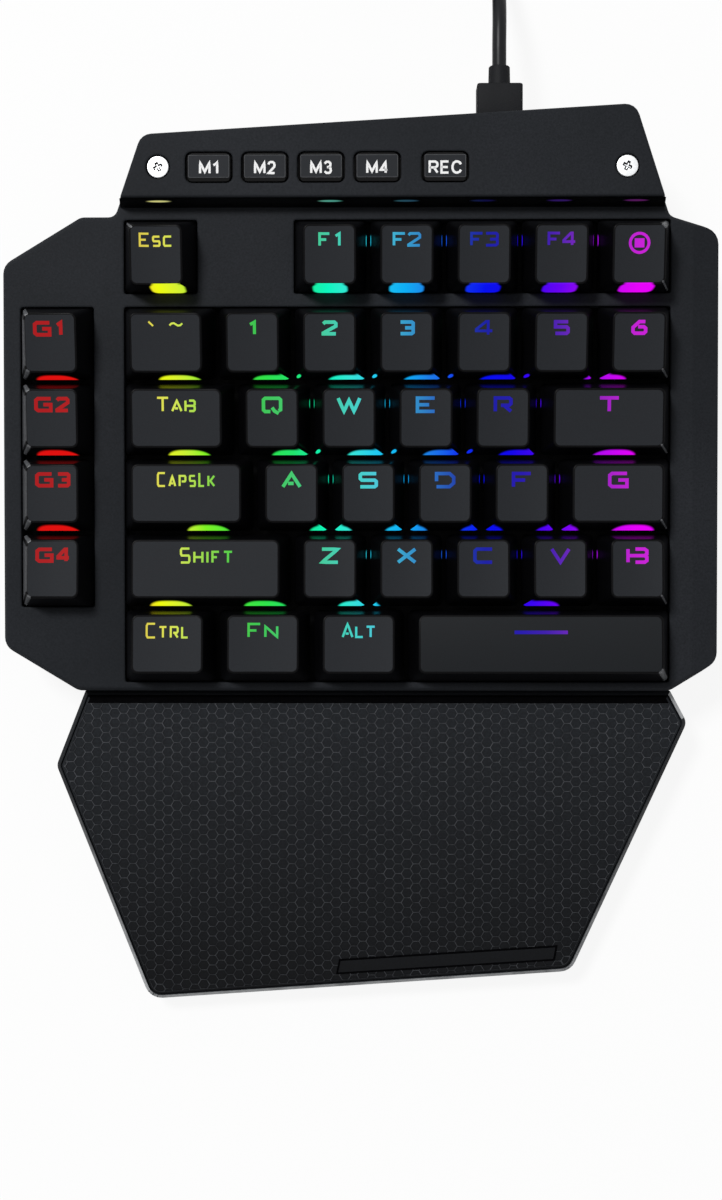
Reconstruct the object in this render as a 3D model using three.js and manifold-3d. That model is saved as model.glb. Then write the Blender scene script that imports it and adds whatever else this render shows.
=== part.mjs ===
// A one-handed gaming keypad: a moulded case with 39 mechanical keys, a raised rear bar with five small
// buttons, a hooked-on palm rest and a fixed USB lead that is coiled and tied behind it.
//
// Sizes are in millimetres. The case is drawn in the switch plate's own frame: x runs to the right from
// the left edge of the main key block, y runs to the rear from the middle of the number row, and z rises
// from the plate's top face. That frame then leans by the typing angle, and the lead lies on the desk.
import * as THREE from 'three';
import { mergeVertices } from 'three/addons/utils/BufferGeometryUtils.js';
import Module from 'manifold-3d';

const wasm = await Module();
wasm.setup();

// Driving dimensions: the key grid and its caps.
const keySpacing = 19.05;
const functionRowSpacing = 21.8;
const capBase = 18;
const capTopWidth = 12.34;
const capTopDepth = 13.81;
const capWall = 1.3;
const capCeiling = 1.5;
const capCornerRadius = 1;
const capShoulder = 0.5;
const capLift = 5.8;
const keyTravel = 4;

// Each row from the rear: the cap's height, the tilt of its top, and how far its top sits to the rear.
const rowCaps = {
  functionRow: { height: 10.2, tiltDegrees: 8, topShift: -1.08 },
  numberRow: { height: 10.2, tiltDegrees: 8, topShift: -0.88 },
  upperRow: { height: 9, tiltDegrees: 5, topShift: -0.38 },
  homeRow: { height: 8.5, tiltDegrees: 1, topShift: 0.08 },
  lowerRow: { height: 8.8, tiltDegrees: -3, topShift: 0.41 },
  bottomRow: { height: 9, tiltDegrees: -4, topShift: 0.75 },
};

// Keys from the left in each row, with widths as shares of the key spacing; a null is a bare stretch.
const rowWidthShares = [
  [['esc', 1], [null, 1.25], ['f1', 1], ['f2', 1], ['f3', 1], ['f4', 1], ['mode', 1]],
  [['grave', 1.25], ['1', 1], ['2', 1], ['3', 1], ['4', 1], ['5', 1], ['6', 1]],
  [['tab', 1.5], ['q', 1], ['w', 1], ['e', 1], ['r', 1], ['t', 1.75]],
  [['caps_lock', 1.75], ['a', 1], ['s', 1], ['d', 1], ['f', 1], ['g', 1.5]],
  [['shift', 2.25], ['z', 1], ['x', 1], ['c', 1], ['v', 1], ['b', 1]],
  [['ctrl', 1.25], ['fn', 1.25], ['alt', 1.25], ['space', 3.5]],
];
const blockWidthShare = 7.25;
const macroColumn = { keys: ['g1', 'g2', 'g3', 'g4'], firstRow: 1, centreShare: -0.875 };
const stabiliserReach = { shift: 11.94, space: 19.05 };

// Clearances: between fixed pieces, round a moving cap, and how far a cutter overruns its face.
const seatGap = 0.3;
const capGap = 0.3;
const overrun = 1;
const leastRadius = 0.05;

// The case.
const typingAngleDegrees = 4.25;
const underBoard = 3.62;
const deckTop = 6.3;
const coverFoot = -2;
const caseWall = 2;
const deckEdge = 0.8;
const wellSkirt = 1.2;
const wellRadius = 0.6;
const leftMargin = 4.45;
const rightMargin = 12.3;
const frontMargin = 2.15;
const wingRearMargin = 0.85;
const wingRadius = 4;
const elbowRadius = 3;
const hollowRadius = 2.3;
const leftRearCut = { width: 19.72, depth: 11.97 };
const leftFrontCut = { width: 18.7, depth: 11.25 };
const rightFrontCut = { width: 12.2, depth: 7.45 };
const rightRearCutDepth = 3.9;
const facetWidth = 6.7;
const facetDrop = 2;

// The raised rear bar.
const bar = {
  top: 12,
  behindWells: 4.5,
  leftDepth: 15.71,
  rightDepth: 23.01,
  frontLean: 1.34,
  flare: 0.85,
  edge: 0.4,
  leftFrontInset: 0.07,
  leftRearInset: 5.41,
  rightFrontInset: 2.5,
  rightRearInset: 9.9,
  radius: 3.6,
  frontRadius: 0.4,
};
const macroButtons = {
  names: ['m1', 'm2', 'm3', 'm4', 'rec'],
  firstX: 22.3,
  spacing: 13.95,
  lastExtra: 2.9,
  fromFront: 7.4,
  width: 11.2,
  depth: 7.1,
  gap: 0.35,
  radius: 1.4,
  proud: 0.5,
  flangeWidth: 12.6,
  flangeDepth: 8.5,
  flange: 1,
  travel: 0.6,
  stemRadius: 1.5,
  stem: 0.9,
};
const screw = {
  leftInset: 9.59,
  rightInset: 11.94,
  fromFront: 7.55,
  headRadius: 2.75,
  head: 1.5,
  shankRadius: 1.4,
  length: 12,
  slotLength: 3,
  slotWidth: 0.8,
  slotDepth: 0.8,
};
const screwPad = { radius: 4.2, depth: 2 };
const screwBoss = { radius: 3.3 };

// Switches, plate and boards.
const plate = { thickness: 1.5, behindWells: 1.5, hole: 14 };
const housing = { flange: 15.6, flangeHeight: 1, topWidth: 11.2, topDepth: 10.4, height: 6.6 };
const slider = { width: 5.6, depth: 4.8, foot: 1.5 };
const sliderGap = 0.5;
const stabiliser = { width: 6.6, depth: 12.6, height: 4.4, postWidth: 3, postDepth: 4.4 };
const board = { underPlate: 3.5, thickness: 1.6 };
const ledge = { width: 1.5, depth: 2.8 };
const boardPost = { radius: 2, columnsShares: [0.08, 0.5, 0.92], rowsShares: [0.2, 0.72] };
const controller = { size: 10, height: 1.2, xShare: 0.43, fromFront: 2.4 };
const leadHeader = { width: 10, depth: 5, height: 4, gap: 3 };
const smallBoard = { thickness: 1.6, endMargin: 7.3, fromFront: 2.4, depth: 11.4 };
const tact = { size: 6, height: 3.3, plunger: 1, plungerRadius: 1.7 };
const pinStrip = { width: 8, depth: 2.5 };

// Base, feet and palm rest.
const footHeight = 1.5;
const footWidth = 9;
const footLength = 100;
const footInset = 5;
const caseFloor = 2;
const palm = {
  underDeck: 4.6,
  rearLeftInset: 19.61,
  leftInset: 12.03,
  leftDepth: 19.65,
  frontLeftInset: 35.97,
  frontLeftDepth: 79.98,
  frontRightInset: 36.31,
  frontRightDepth: 72.53,
  rightInset: 6.8,
  rightDepth: 8.49,
  rearRightInset: 11.19,
  frontRadius: 4.5,
  sideRadius: 3,
  rearRadius: 0.5,
  rim: 1.1,
  rimDrop: 0.5,
  rimEdge: 0.9,
  padThickness: 1.6,
  padEdge: 0.3,
  wall: 2.2,
  lift: 0.8,
};
const palmSkid = { width: 26, depth: 8, inset: 14 };
const palmHook = { width: 11.4, thickness: 2.4, reach: 4, lift: 0.4, xShares: [0.2, 0.8] };

// The lead.
const leadDiameter = 3.6;
const leadLength = 1800;
const relief = {
  x: 95.3,
  z: -2.15,
  width: 11.6,
  height: 7,
  length: 9.2,
  edge: 1.2,
  throatWidth: 8,
  throatHeight: 4.6,
  flangeWidth: 12,
  flangeHeight: 8,
  flange: 1.6,
  inside: 0.35,
  neckRadius: 2.8,
  neckTipRadius: 2.5,
  neck: 4.1,
};
// From the strain relief's tip down to the desk and along it: x to the right, y to the rear, z up.
const leadRoute = [
  [0, 0.3, 0.02],
  [0, 6, 0.4],
  [0.1, 12, 0.1],
  [0.2, 18, -1.8],
  [0.3, 24, -5.4],
  [0.3, 30, -10.2],
  [0.2, 36, -15],
  [0.1, 42, -18.9],
  [0, 48, -21.1],
  [0, 53, -21.3],
  [0, 58, -20.75],
];
const leadSides = 8;
const leadSteps = 24;
const coil = {
  meanRadius: 21.6,
  spacing: 4.12,
  layers: 4,
  climbTurns: 0.5,
  stepsPerTurn: 24,
  sides: 6,
  tailRadius: 16,
  tailDegrees: 111,
  tailSteps: 8,
  straight: 5,
};
const plug = {
  width: 15.6,
  thickness: 7.8,
  length: 23,
  corner: 1.4,
  tipWidth: 9,
  tipLength: 4,
  shellWidth: 12,
  shellHeight: 4.5,
  shellLength: 12,
  shellWall: 0.4,
  tongue: 1.8,
};
const tie = { thickness: 0.8, width: 7, degrees: 78, radius: 1 };

const arcSteps = 4;
const roundSteps = 16;
const capArcSteps = 1;

// Colours and finishes.
const finishes = {
  caseBlack: { color: 0x26282b, roughness: 0.48, metalness: 0 },
  capBlack: { color: 0x2e2f31, roughness: 0.55, metalness: 0 },
  gloss: { color: 0x0c0c0e, roughness: 0.15, metalness: 0 },
  rubber: { color: 0x1b1c1e, roughness: 0.85, metalness: 0 },
  palmSkin: { color: 0x232428, roughness: 0.7, metalness: 0 },
  steel: { color: 0x8c8f92, roughness: 0.4, metalness: 0.9 },
  screwSteel: { color: 0xd8dadb, roughness: 0.3, metalness: 0.9 },
  boardGreen: { color: 0x163b2a, roughness: 0.5, metalness: 0 },
  leadBlack: { color: 0x17181a, roughness: 0.6, metalness: 0 },
};

// Values that follow from the sizes above.
const radians = THREE.MathUtils.degToRad;
const typingAngle = radians(typingAngleDegrees);
const wellHalf = capBase / 2 + capGap;
const wellInset = keySpacing / 2 - wellHalf;
const blockWidth = blockWidthShare * keySpacing;
const capRows = Object.values(rowCaps);
const rowY = capRows.map((cap, row) => (row === 0 ? functionRowSpacing : (1 - row) * keySpacing));
const macroColumnX = macroColumn.centreShare * keySpacing;
const wells = {
  left: macroColumnX - wellHalf,
  right: blockWidth - wellInset,
  front: rowY[rowY.length - 1] - wellHalf,
  rear: functionRowSpacing + wellHalf,
};
const side = {
  left: wells.left - leftMargin,
  right: wells.right + rightMargin,
  front: wells.front - frontMargin,
  wingRear: wells.rear + wingRearMargin,
};
const barFront = wells.rear + bar.behindWells;
const beyond = 2 * (side.right - side.left) + 2 * (barFront + bar.rightDepth + palm.frontLeftDepth);
const baseBottom = footHeight + seatGap;
const lipInset = caseWall + seatGap;
const ledgeInset = lipInset + ledge.width;
const lipTop = -plate.thickness - seatGap;
const boardTop = -plate.thickness - board.underPlate;
const boardFoot = boardTop - board.thickness;
const plateHeight = baseBottom + caseFloor + underBoard
  - boardFoot * Math.cos(typingAngle) - side.front * Math.sin(typingAngle);

// The plate frame, and its inverse, which brings level shapes into it.
const leaning = new THREE.Group();
leaning.rotation.x = typingAngle;
leaning.position.z = plateHeight;
leaning.updateMatrix();
const intoPlateFrame = leaning.matrix.clone().invert();

// Moves every side of a polygon of [x, y, radius] corners outwards; the corners run counter-clockwise.
function grown(corners, grow) {
  return corners.map(([x, y, radius], index) => {
    const here = new THREE.Vector2(x, y);
    const before = new THREE.Vector2(...corners[(index + corners.length - 1) % corners.length]);
    const after = new THREE.Vector2(...corners[(index + 1) % corners.length]);
    const arriving = here.clone().sub(before).normalize();
    const leaving = after.sub(here).normalize();
    const outwards = new THREE.Vector2(arriving.y + leaving.y, -arriving.x - leaving.x);
    here.addScaledVector(outwards, grow / (1 + arriving.dot(leaving)));
    const rounding = radius + Math.sign(arriving.cross(leaving)) * grow;
    return [here.x, here.y, Math.max(rounding, leastRadius)];
  });
}

// The points of a polygon grown by a margin, with each corner rounded.
function outline(corners, grow = 0, steps = arcSteps) {
  const larger = grown(corners, grow);
  return larger.flatMap(([x, y, radius], index) => {
    const before = new THREE.Vector2(...larger[(index + larger.length - 1) % larger.length]);
    const after = new THREE.Vector2(...larger[(index + 1) % larger.length]);
    const arriving = new THREE.Vector2(x, y).sub(before).normalize();
    const leaving = after.sub(new THREE.Vector2(x, y)).normalize();
    const turn = Math.atan2(arriving.cross(leaving), arriving.dot(leaving));
    const spoke = new THREE.Vector2(arriving.y, -arriving.x).multiplyScalar(Math.sign(turn) * radius);
    const centre = new THREE.Vector2(x, y)
      .addScaledVector(arriving, -radius * Math.tan(Math.abs(turn) / 2))
      .sub(spoke);
    return Array.from({ length: steps + 1 }, (unused, step) => (
      spoke.clone().rotateAround(new THREE.Vector2(), (turn * step) / steps).add(centre)
    ));
  });
}

function rectangle(left, right, front, rear, radius) {
  return [[left, front, radius], [right, front, radius], [right, rear, radius], [left, rear, radius]];
}

function centred(x, y, width, depth, radius = 0) {
  return rectangle(x - width / 2, x + width / 2, y - depth / 2, y + depth / 2, radius);
}

function sharp(corners) {
  return corners.map(([x, y]) => new THREE.Vector2(x, y));
}

// Joins rings of equally many points into one closed skin; the section gives the shape of both ends.
function loft(rings, section) {
  const count = section.length;
  const faces = [];
  for (let low = 0; low + count < rings.length * count; low += count) {
    for (let index = 0; index < count; index += 1) {
      const next = (index + 1) % count;
      const high = low + count;
      faces.push(low + index, low + next, high + next, low + index, high + next, high + index);
    }
  }
  const last = (rings.length - 1) * count;
  THREE.ShapeUtils.triangulateShape(section, []).forEach(([a, b, c]) => {
    faces.push(a, c, b, last + a, last + b, last + c);
  });
  const geometry = new THREE.BufferGeometry().setFromPoints(rings.flat());
  geometry.setIndex(faces);
  return geometry;
}

// A body whose outline changes with height: each level is [points, height], and the height is a number
// or a function of the point.
function tapered(...levels) {
  const rings = levels.map(([points, height]) => points.map((point) => (
    new THREE.Vector3(point.x, point.y, typeof height === 'function' ? height(point) : height)
  )));
  return solid(loft(rings, levels[0][0]));
}

function prism(points, low, high) {
  const shape = new THREE.Shape(points);
  const geometry = new THREE.ExtrudeGeometry(shape, { depth: high - low, bevelEnabled: false });
  return solid(geometry.translate(0, 0, low));
}

function block(x, y, width, depth, low, high) {
  const geometry = new THREE.BoxGeometry(width, depth, high - low);
  return solid(geometry.translate(x, y, (low + high) / 2));
}

function rod(x, y, radius, low, high, lowRadius = radius) {
  const geometry = new THREE.CylinderGeometry(radius, lowRadius, high - low, roundSteps);
  return solid(geometry.rotateX(Math.PI / 2).translate(x, y, (low + high) / 2));
}

// A level block over the desk, brought into the plate frame.
function levelBlock(x, y, width, depth, low, high) {
  const geometry = new THREE.BoxGeometry(width, depth, high - low);
  geometry.translate(x, y, (low + high) / 2);
  return solid(geometry.applyMatrix4(intoPlateFrame));
}

function aboveDesk(height) {
  return levelBlock(0, 0, beyond, beyond, height, height + beyond);
}

function solid(geometry) {
  geometry.deleteAttribute('normal');
  geometry.deleteAttribute('uv');
  const merged = mergeVertices(geometry);
  return new wasm.Manifold(new wasm.Mesh({
    numProp: 3,
    vertProperties: merged.attributes.position.array,
    triVerts: new Uint32Array(merged.index.array),
  }));
}

function skin(body) {
  const { vertProperties, triVerts } = body.getMesh();
  const geometry = new THREE.BufferGeometry();
  geometry.setAttribute('position', new THREE.BufferAttribute(vertProperties, 3));
  geometry.setIndex(new THREE.BufferAttribute(triVerts, 1));
  return geometry;
}

function joined(bodies) {
  return bodies.reduce((whole, body) => whole.add(body));
}

function piece(name, shape, finish) {
  const geometry = shape.isBufferGeometry ? shape : skin(shape);
  const mesh = new THREE.Mesh(geometry, new THREE.MeshStandardMaterial(finish));
  mesh.name = name;
  return mesh;
}

// Every key with its row and its place.
const keys = rowWidthShares.flatMap((row, index) => {
  let startShare = 0;
  return row.map(([name, widthShare]) => {
    const x = (startShare + widthShare / 2) * keySpacing;
    startShare += widthShare;
    return { name, row: index, x, y: rowY[index], extra: (widthShare - 1) * keySpacing };
  });
}).filter((key) => key.name).concat(macroColumn.keys.map((name, index) => {
  const row = macroColumn.firstRow + index;
  return { name, row, x: macroColumnX, y: rowY[row], extra: 0 };
}));

// The wells that the keys stand in: Esc, the function keys, the main block and the macro column.
const [escape, firstFunction] = keys;
const wellOutlines = [
  rectangle(escape.x - wellHalf, escape.x + wellHalf, escape.y - wellHalf, wells.rear, wellRadius),
  rectangle(firstFunction.x - wellHalf, wells.right, escape.y - wellHalf, wells.rear, wellRadius),
  rectangle(wellInset, wells.right, wells.front, rowY[1] + wellHalf, wellRadius),
  rectangle(
    wells.left,
    macroColumnX + wellHalf,
    keys[keys.length - 1].y - wellHalf,
    rowY[macroColumn.firstRow] + wellHalf,
    wellRadius,
  ),
];

// The rear bar narrows upwards and its front wall leans back, so its corners depend on the front edge.
function onLine([startX, startY], [endX, endY], y) {
  return startX + ((endX - startX) * (y - startY)) / (endY - startY);
}

function barCorners(front) {
  const frontLeft = [bar.leftFrontInset, barFront];
  const frontRight = [blockWidth - bar.rightFrontInset, barFront];
  const rearLeft = [bar.leftRearInset, barFront + bar.leftDepth];
  const rearRight = [blockWidth - bar.rightRearInset, barFront + bar.rightDepth];
  return [
    [onLine(frontLeft, rearLeft, front), front, bar.frontRadius],
    [onLine(frontRight, rearRight, front), front, bar.frontRadius],
    [...rearRight, bar.radius],
    [...rearLeft, bar.radius],
  ];
}

const barTopCorners = barCorners(barFront);
const barFootCorners = grown(barCorners(barFront - bar.frontLean + bar.flare), bar.flare);
const [footFrontLeft, footFrontRight, footRearRight, footRearLeft] = barFootCorners;
const rearAt = (x) => footRearLeft[1]
  + ((x - footRearLeft[0]) * (footRearRight[1] - footRearLeft[1])) / (footRearRight[0] - footRearLeft[0]);

const caseCorners = [
  [side.left + leftFrontCut.width, side.front, wingRadius],
  [side.right - rightFrontCut.width, side.front, wingRadius],
  [side.right, side.front + rightFrontCut.depth, wingRadius],
  [side.right, side.wingRear - rightRearCutDepth, wingRadius],
  [onLine(footFrontRight, footRearRight, side.wingRear), side.wingRear, hollowRadius],
  footRearRight,
  footRearLeft,
  [onLine(footFrontLeft, footRearLeft, side.wingRear), side.wingRear, hollowRadius],
  [side.left + leftRearCut.width, side.wingRear, elbowRadius],
  [side.left, side.wingRear - leftRearCut.depth, wingRadius],
  [side.left, side.front + leftFrontCut.depth, wingRadius],
];

const buttonPlaces = macroButtons.names.map((name, index, { length }) => ({
  name,
  x: macroButtons.firstX + index * macroButtons.spacing + (index === length - 1 ? macroButtons.lastExtra : 0),
}));
const buttonY = barFront + macroButtons.fromFront;
const screwPlaces = [['left', screw.leftInset], ['right', blockWidth - screw.rightInset]];
const screwY = barFront + screw.fromFront;
const barCeiling = bar.top - caseWall;
const screwPadFoot = barCeiling - screwPad.depth;
const bossTop = screwPadFoot - seatGap;

// The sloping facet along the right side: everything above it, lowered by a wall for the inside.
function aboveFacet(lower) {
  const slope = facetDrop / facetWidth;
  const crease = deckTop - lower;
  const facet = new THREE.Shape([
    new THREE.Vector2(side.right - facetWidth, crease),
    new THREE.Vector2(side.right + overrun, crease - slope * (facetWidth + overrun)),
    new THREE.Vector2(side.right + overrun, crease + beyond),
    new THREE.Vector2(side.right - facetWidth, crease + beyond),
  ]);
  const geometry = new THREE.ExtrudeGeometry(facet, { depth: beyond, bevelEnabled: false });
  return solid(geometry.rotateX(Math.PI / 2).translate(0, beyond / 2, 0));
}

// Upper case: deck with key wells and their skirts, raised bar with button and screw holes.
function topCover() {
  const deck = tapered(
    [outline(caseCorners), coverFoot],
    [outline(caseCorners), deckTop - deckEdge],
    [outline(caseCorners, -deckEdge), deckTop],
  ).subtract(aboveFacet(0));
  const raisedBar = tapered(
    [outline(barFootCorners), deckTop - deckEdge],
    [outline(barFootCorners), deckTop],
    [outline(barTopCorners), bar.top - bar.edge],
    [outline(barTopCorners, -bar.edge), bar.top],
  );
  const underDeck = prism(outline(caseCorners, -caseWall), coverFoot - overrun, deckTop - caseWall)
    .subtract(aboveFacet(caseWall));
  const underBar = tapered(
    [outline(barFootCorners, -caseWall), coverFoot],
    [outline(barFootCorners, -caseWall), deckTop],
    [outline(barTopCorners, -caseWall), barCeiling],
  );
  const skirts = wellOutlines.map((well) => (
    prism(outline(well, wellSkirt), seatGap, deckTop - caseWall / 2)
  ));
  const pads = screwPlaces.map(([, x]) => (
    rod(x, screwY, screwPad.radius, screwPadFoot, bar.top - caseWall / 2)
  ));
  const wellCuts = wellOutlines.map((well) => prism(outline(well), coverFoot, deckTop + overrun));
  const buttonCuts = buttonPlaces.map(({ x }) => prism(
    outline(centred(x, buttonY, macroButtons.width, macroButtons.depth, macroButtons.radius),
      macroButtons.gap),
    barCeiling - overrun,
    bar.top + overrun,
  ));
  const screwCuts = screwPlaces.flatMap(([, x]) => [
    rod(x, screwY, screw.headRadius + seatGap, bar.top - screw.head - seatGap, bar.top + overrun),
    rod(x, screwY, screw.shankRadius + seatGap, screwPadFoot - overrun, bar.top),
  ]);
  return joined([deck, raisedBar])
    .subtract(joined([underDeck, underBar]))
    .add(joined([...skirts, ...pads]))
    .subtract(joined([...wellCuts, ...buttonCuts, ...screwCuts, reliefThroat(seatGap)]));
}

// Lower case: a tub with a lip that locates the cover, a ledge under the plate, and bosses and posts.
function baseShell() {
  const seam = coverFoot - seatGap;
  const tub = prism(outline(caseCorners), -beyond, seam).intersect(aboveDesk(baseBottom));
  const lip = prism(outline(caseCorners, -lipInset), seam - overrun, lipTop);
  const floorTop = aboveDesk(baseBottom + caseFloor);
  const lowRoom = prism(outline(caseCorners, -caseWall), -beyond, lipTop - ledge.depth)
    .intersect(floorTop);
  const highRoom = prism(outline(caseCorners, -ledgeInset), lipTop - ledge.depth - overrun, overrun);
  const bosses = screwPlaces.map(([, x]) => rod(x, screwY, screwBoss.radius, -beyond, bossTop));
  const posts = boardPost.columnsShares.flatMap((columnShare) => boardPost.rowsShares.map((rowShare) => rod(
    THREE.MathUtils.lerp(0, blockWidth, columnShare),
    THREE.MathUtils.lerp(wells.front, wells.rear, rowShare),
    boardPost.radius,
    -beyond,
    boardFoot - seatGap,
  )));
  const uprights = joined([...bosses, ...posts]).intersect(aboveDesk(baseBottom + caseFloor / 2));
  const screwCuts = screwPlaces.map(([, x]) => (
    rod(x, screwY, screw.shankRadius + seatGap, bar.top - screw.length - seatGap, bossTop + overrun)
  ));
  const hookCuts = palmHookPlaces.map((x) => palmHookBlock(x, seatGap));
  return joined([tub, lip])
    .subtract(lowRoom)
    .subtract(highRoom)
    .add(uprights)
    .subtract(joined([...screwCuts, ...hookCuts, reliefThroat(seatGap), reliefFlange(seatGap)]));
}

// The steel plate that the switches clip into.
function switchPlate() {
  const width = stabiliser.width + 2 * seatGap;
  const depth = stabiliser.depth + 2 * seatGap;
  const holes = [
    ...keys.map(({ x, y }) => block(x, y, plate.hole, plate.hole, -beyond, beyond)),
    ...stabiliserPlaces.map(([x, y]) => block(x, y, width, depth, -beyond, beyond)),
  ];
  const rear = wells.rear + plate.behindWells;
  const rearTrim = block(0, rear + beyond / 2, 2 * beyond, beyond, -beyond, beyond);
  return prism(outline(caseCorners, -lipInset), -plate.thickness, 0)
    .subtract(joined([...holes, rearTrim]));
}

// Wide keys have a stabiliser at each end.
const stabiliserPlaces = keys.filter(({ name }) => stabiliserReach[name]).flatMap(({ name, x, y }) => (
  [[x - stabiliserReach[name], y], [x + stabiliserReach[name], y]]
));

// The main board with its soldered switch and stabiliser housings, controller, lead header and pins.
function circuitBoard() {
  const pcb = prism(outline(caseCorners, -ledgeInset - seatGap), boardFoot, boardTop)
    .subtract(joined([
      ...screwPlaces.map(([, x]) => rod(x, screwY, screwBoss.radius + seatGap, -beyond, beyond)),
      reliefFlange(seatGap),
    ]));
  const seat = boardTop - board.thickness / 2;
  const body = plate.hole - 2 * seatGap;
  const flangeTop = seatGap + housing.flangeHeight;
  const wellFloor = slider.foot - keyTravel - seatGap;
  const switchHousing = tapered(
    [sharp(centred(0, 0, body, body)), seat],
    [sharp(centred(0, 0, body, body)), seatGap],
    [sharp(centred(0, 0, housing.flange, housing.flange)), seatGap],
    [sharp(centred(0, 0, housing.flange, housing.flange)), flangeTop],
    [sharp(centred(0, 0, housing.topWidth, housing.topDepth)), housing.height],
  ).subtract(block(
    0,
    0,
    slider.width + 2 * sliderGap,
    slider.depth + 2 * sliderGap,
    wellFloor,
    housing.height + overrun,
  ));
  const stabiliserHousing = block(0, 0, stabiliser.width, stabiliser.depth, seat, stabiliser.height)
    .subtract(block(
      0,
      0,
      stabiliser.postWidth + 2 * sliderGap,
      stabiliser.postDepth + 2 * sliderGap,
      wellFloor,
      stabiliser.height + overrun,
    ));
  const chip = block(
    controller.xShare * blockWidth,
    barFront + controller.fromFront,
    controller.size,
    controller.size,
    boardFoot - controller.height,
    seat,
  );
  const headerY = rearAt(relief.x) - ledgeInset - relief.flange - leadHeader.gap - leadHeader.depth / 2;
  const header = block(
    relief.x,
    headerY,
    leadHeader.width,
    leadHeader.depth,
    seat,
    boardTop + leadHeader.height,
  );
  const pins = pinPlaces.map((x) => (
    block(x, smallBoardY, pinStrip.width, pinStrip.depth, seat, smallBoardFoot - seatGap)
  ));
  return joined([
    pcb,
    ...keys.map(({ x, y }) => switchHousing.translate([x, y, 0])),
    ...stabiliserPlaces.map(([x, y]) => stabiliserHousing.translate([x, y, 0])),
    chip,
    header,
    ...pins,
  ]);
}

// The small board under the bar, with one tact switch for each button.
const buttonFlangeTop = barCeiling - seatGap;
const buttonStemFoot = buttonFlangeTop - macroButtons.flange - macroButtons.stem;
const plungerTop = buttonStemFoot - macroButtons.travel - seatGap;
const smallBoardTop = plungerTop - tact.plunger - tact.height;
const smallBoardFoot = smallBoardTop - smallBoard.thickness;
const smallBoardY = barFront + smallBoard.fromFront + smallBoard.depth / 2;
const lastButton = buttonPlaces[buttonPlaces.length - 1];
const pinPlaces = [
  (buttonPlaces[0].x + buttonPlaces[1].x) / 2,
  (buttonPlaces[buttonPlaces.length - 2].x + lastButton.x) / 2,
];

function macroBoard() {
  const strip = prism(
    sharp(rectangle(
      buttonPlaces[0].x - smallBoard.endMargin,
      lastButton.x + smallBoard.endMargin,
      smallBoardY - smallBoard.depth / 2,
      smallBoardY + smallBoard.depth / 2,
      0,
    )),
    smallBoardFoot,
    smallBoardTop,
  );
  const seat = smallBoardTop - smallBoard.thickness / 2;
  const switches = buttonPlaces.flatMap(({ x }) => [
    block(x, buttonY, tact.size, tact.size, seat, smallBoardTop + tact.height),
    rod(x, buttonY, tact.plungerRadius, seat, plungerTop),
  ]);
  return joined([strip, ...switches]);
}

// A hollow keycap with a sculpted top, on the slider that runs in its switch.
function keycap({ name, row, extra }) {
  const { height, tiltDegrees, topShift } = capRows[row];
  const slope = Math.tan(radians(tiltDegrees));
  const topAt = (point) => height + (point.y - topShift) * slope;
  const ceilingAt = (point) => topAt(point) - capCeiling;
  const foot = centred(0, 0, capBase + extra, capBase, capCornerRadius);
  const top = centred(0, topShift, capTopWidth + extra, capTopDepth, capCornerRadius);
  const shell = tapered(
    [outline(foot, 0, capArcSteps), 0],
    [outline(top, capShoulder, capArcSteps), (point) => topAt(point) - capShoulder],
    [outline(top, 0, capArcSteps), topAt],
  );
  const room = tapered(
    [sharp(grown(foot, -capWall)), -overrun],
    [sharp(grown(foot, -capWall)), 0],
    [sharp(grown(top, -capWall)), ceilingAt],
  );
  const stemTop = height - capCeiling / 2;
  const stems = [block(0, 0, slider.width, slider.depth, slider.foot - capLift, stemTop)];
  [-stabiliserReach[name], stabiliserReach[name]].filter(Boolean).forEach((x) => {
    stems.push(block(x, 0, stabiliser.postWidth, stabiliser.postDepth, slider.foot - capLift, stemTop));
  });
  return shell.subtract(room).add(joined(stems));
}

// A small button: its cap stands in the bar's opening and its flange holds it in from below.
function macroButton() {
  const cap = centred(0, 0, macroButtons.width, macroButtons.depth, macroButtons.radius);
  const flangeFoot = buttonFlangeTop - macroButtons.flange;
  return joined([
    prism(outline(cap), flangeFoot, bar.top + macroButtons.proud),
    block(0, 0, macroButtons.flangeWidth, macroButtons.flangeDepth, flangeFoot, buttonFlangeTop),
    rod(0, 0, macroButtons.stemRadius, buttonStemFoot, buttonFlangeTop),
  ]);
}

// A countersunk-looking pan head, flush with the bar, with a cross recess.
function coverScrew() {
  const slotFoot = bar.top - screw.slotDepth;
  return joined([
    rod(0, 0, screw.headRadius, bar.top - screw.head, bar.top),
    rod(0, 0, screw.shankRadius, bar.top - screw.length, bar.top - screw.head / 2),
  ]).subtract(joined([
    block(0, 0, screw.slotLength, screw.slotWidth, slotFoot, bar.top + overrun),
    block(0, 0, screw.slotWidth, screw.slotLength, slotFoot, bar.top + overrun),
  ]));
}

// The palm rest: a moulded tray whose rim is bevelled, on two skids, hooked into the case's front.
const palmRear = side.front - seatGap;
const palmRearLeft = side.left + palm.rearLeftInset;
const palmRearRight = side.right - palm.rearRightInset;
const palmCorners = [
  [side.left + palm.frontLeftInset, side.front - palm.frontLeftDepth, palm.frontRadius],
  [side.right - palm.frontRightInset, side.front - palm.frontRightDepth, palm.frontRadius],
  [side.right - palm.rightInset, side.front - palm.rightDepth, palm.sideRadius],
  [palmRearRight, palmRear, palm.rearRadius],
  [palmRearLeft, palmRear, palm.rearRadius],
  [side.left + palm.leftInset, side.front - palm.leftDepth, palm.sideRadius],
];
const palmTop = deckTop - palm.underDeck;
const padSeat = palmTop - palm.padThickness - seatGap;
const palmRim = palmTop - palm.rimDrop;
const palmHookPlaces = palmHook.xShares.map((share) => (
  THREE.MathUtils.lerp(palmRearLeft, palmRearRight, share)
));

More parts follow.
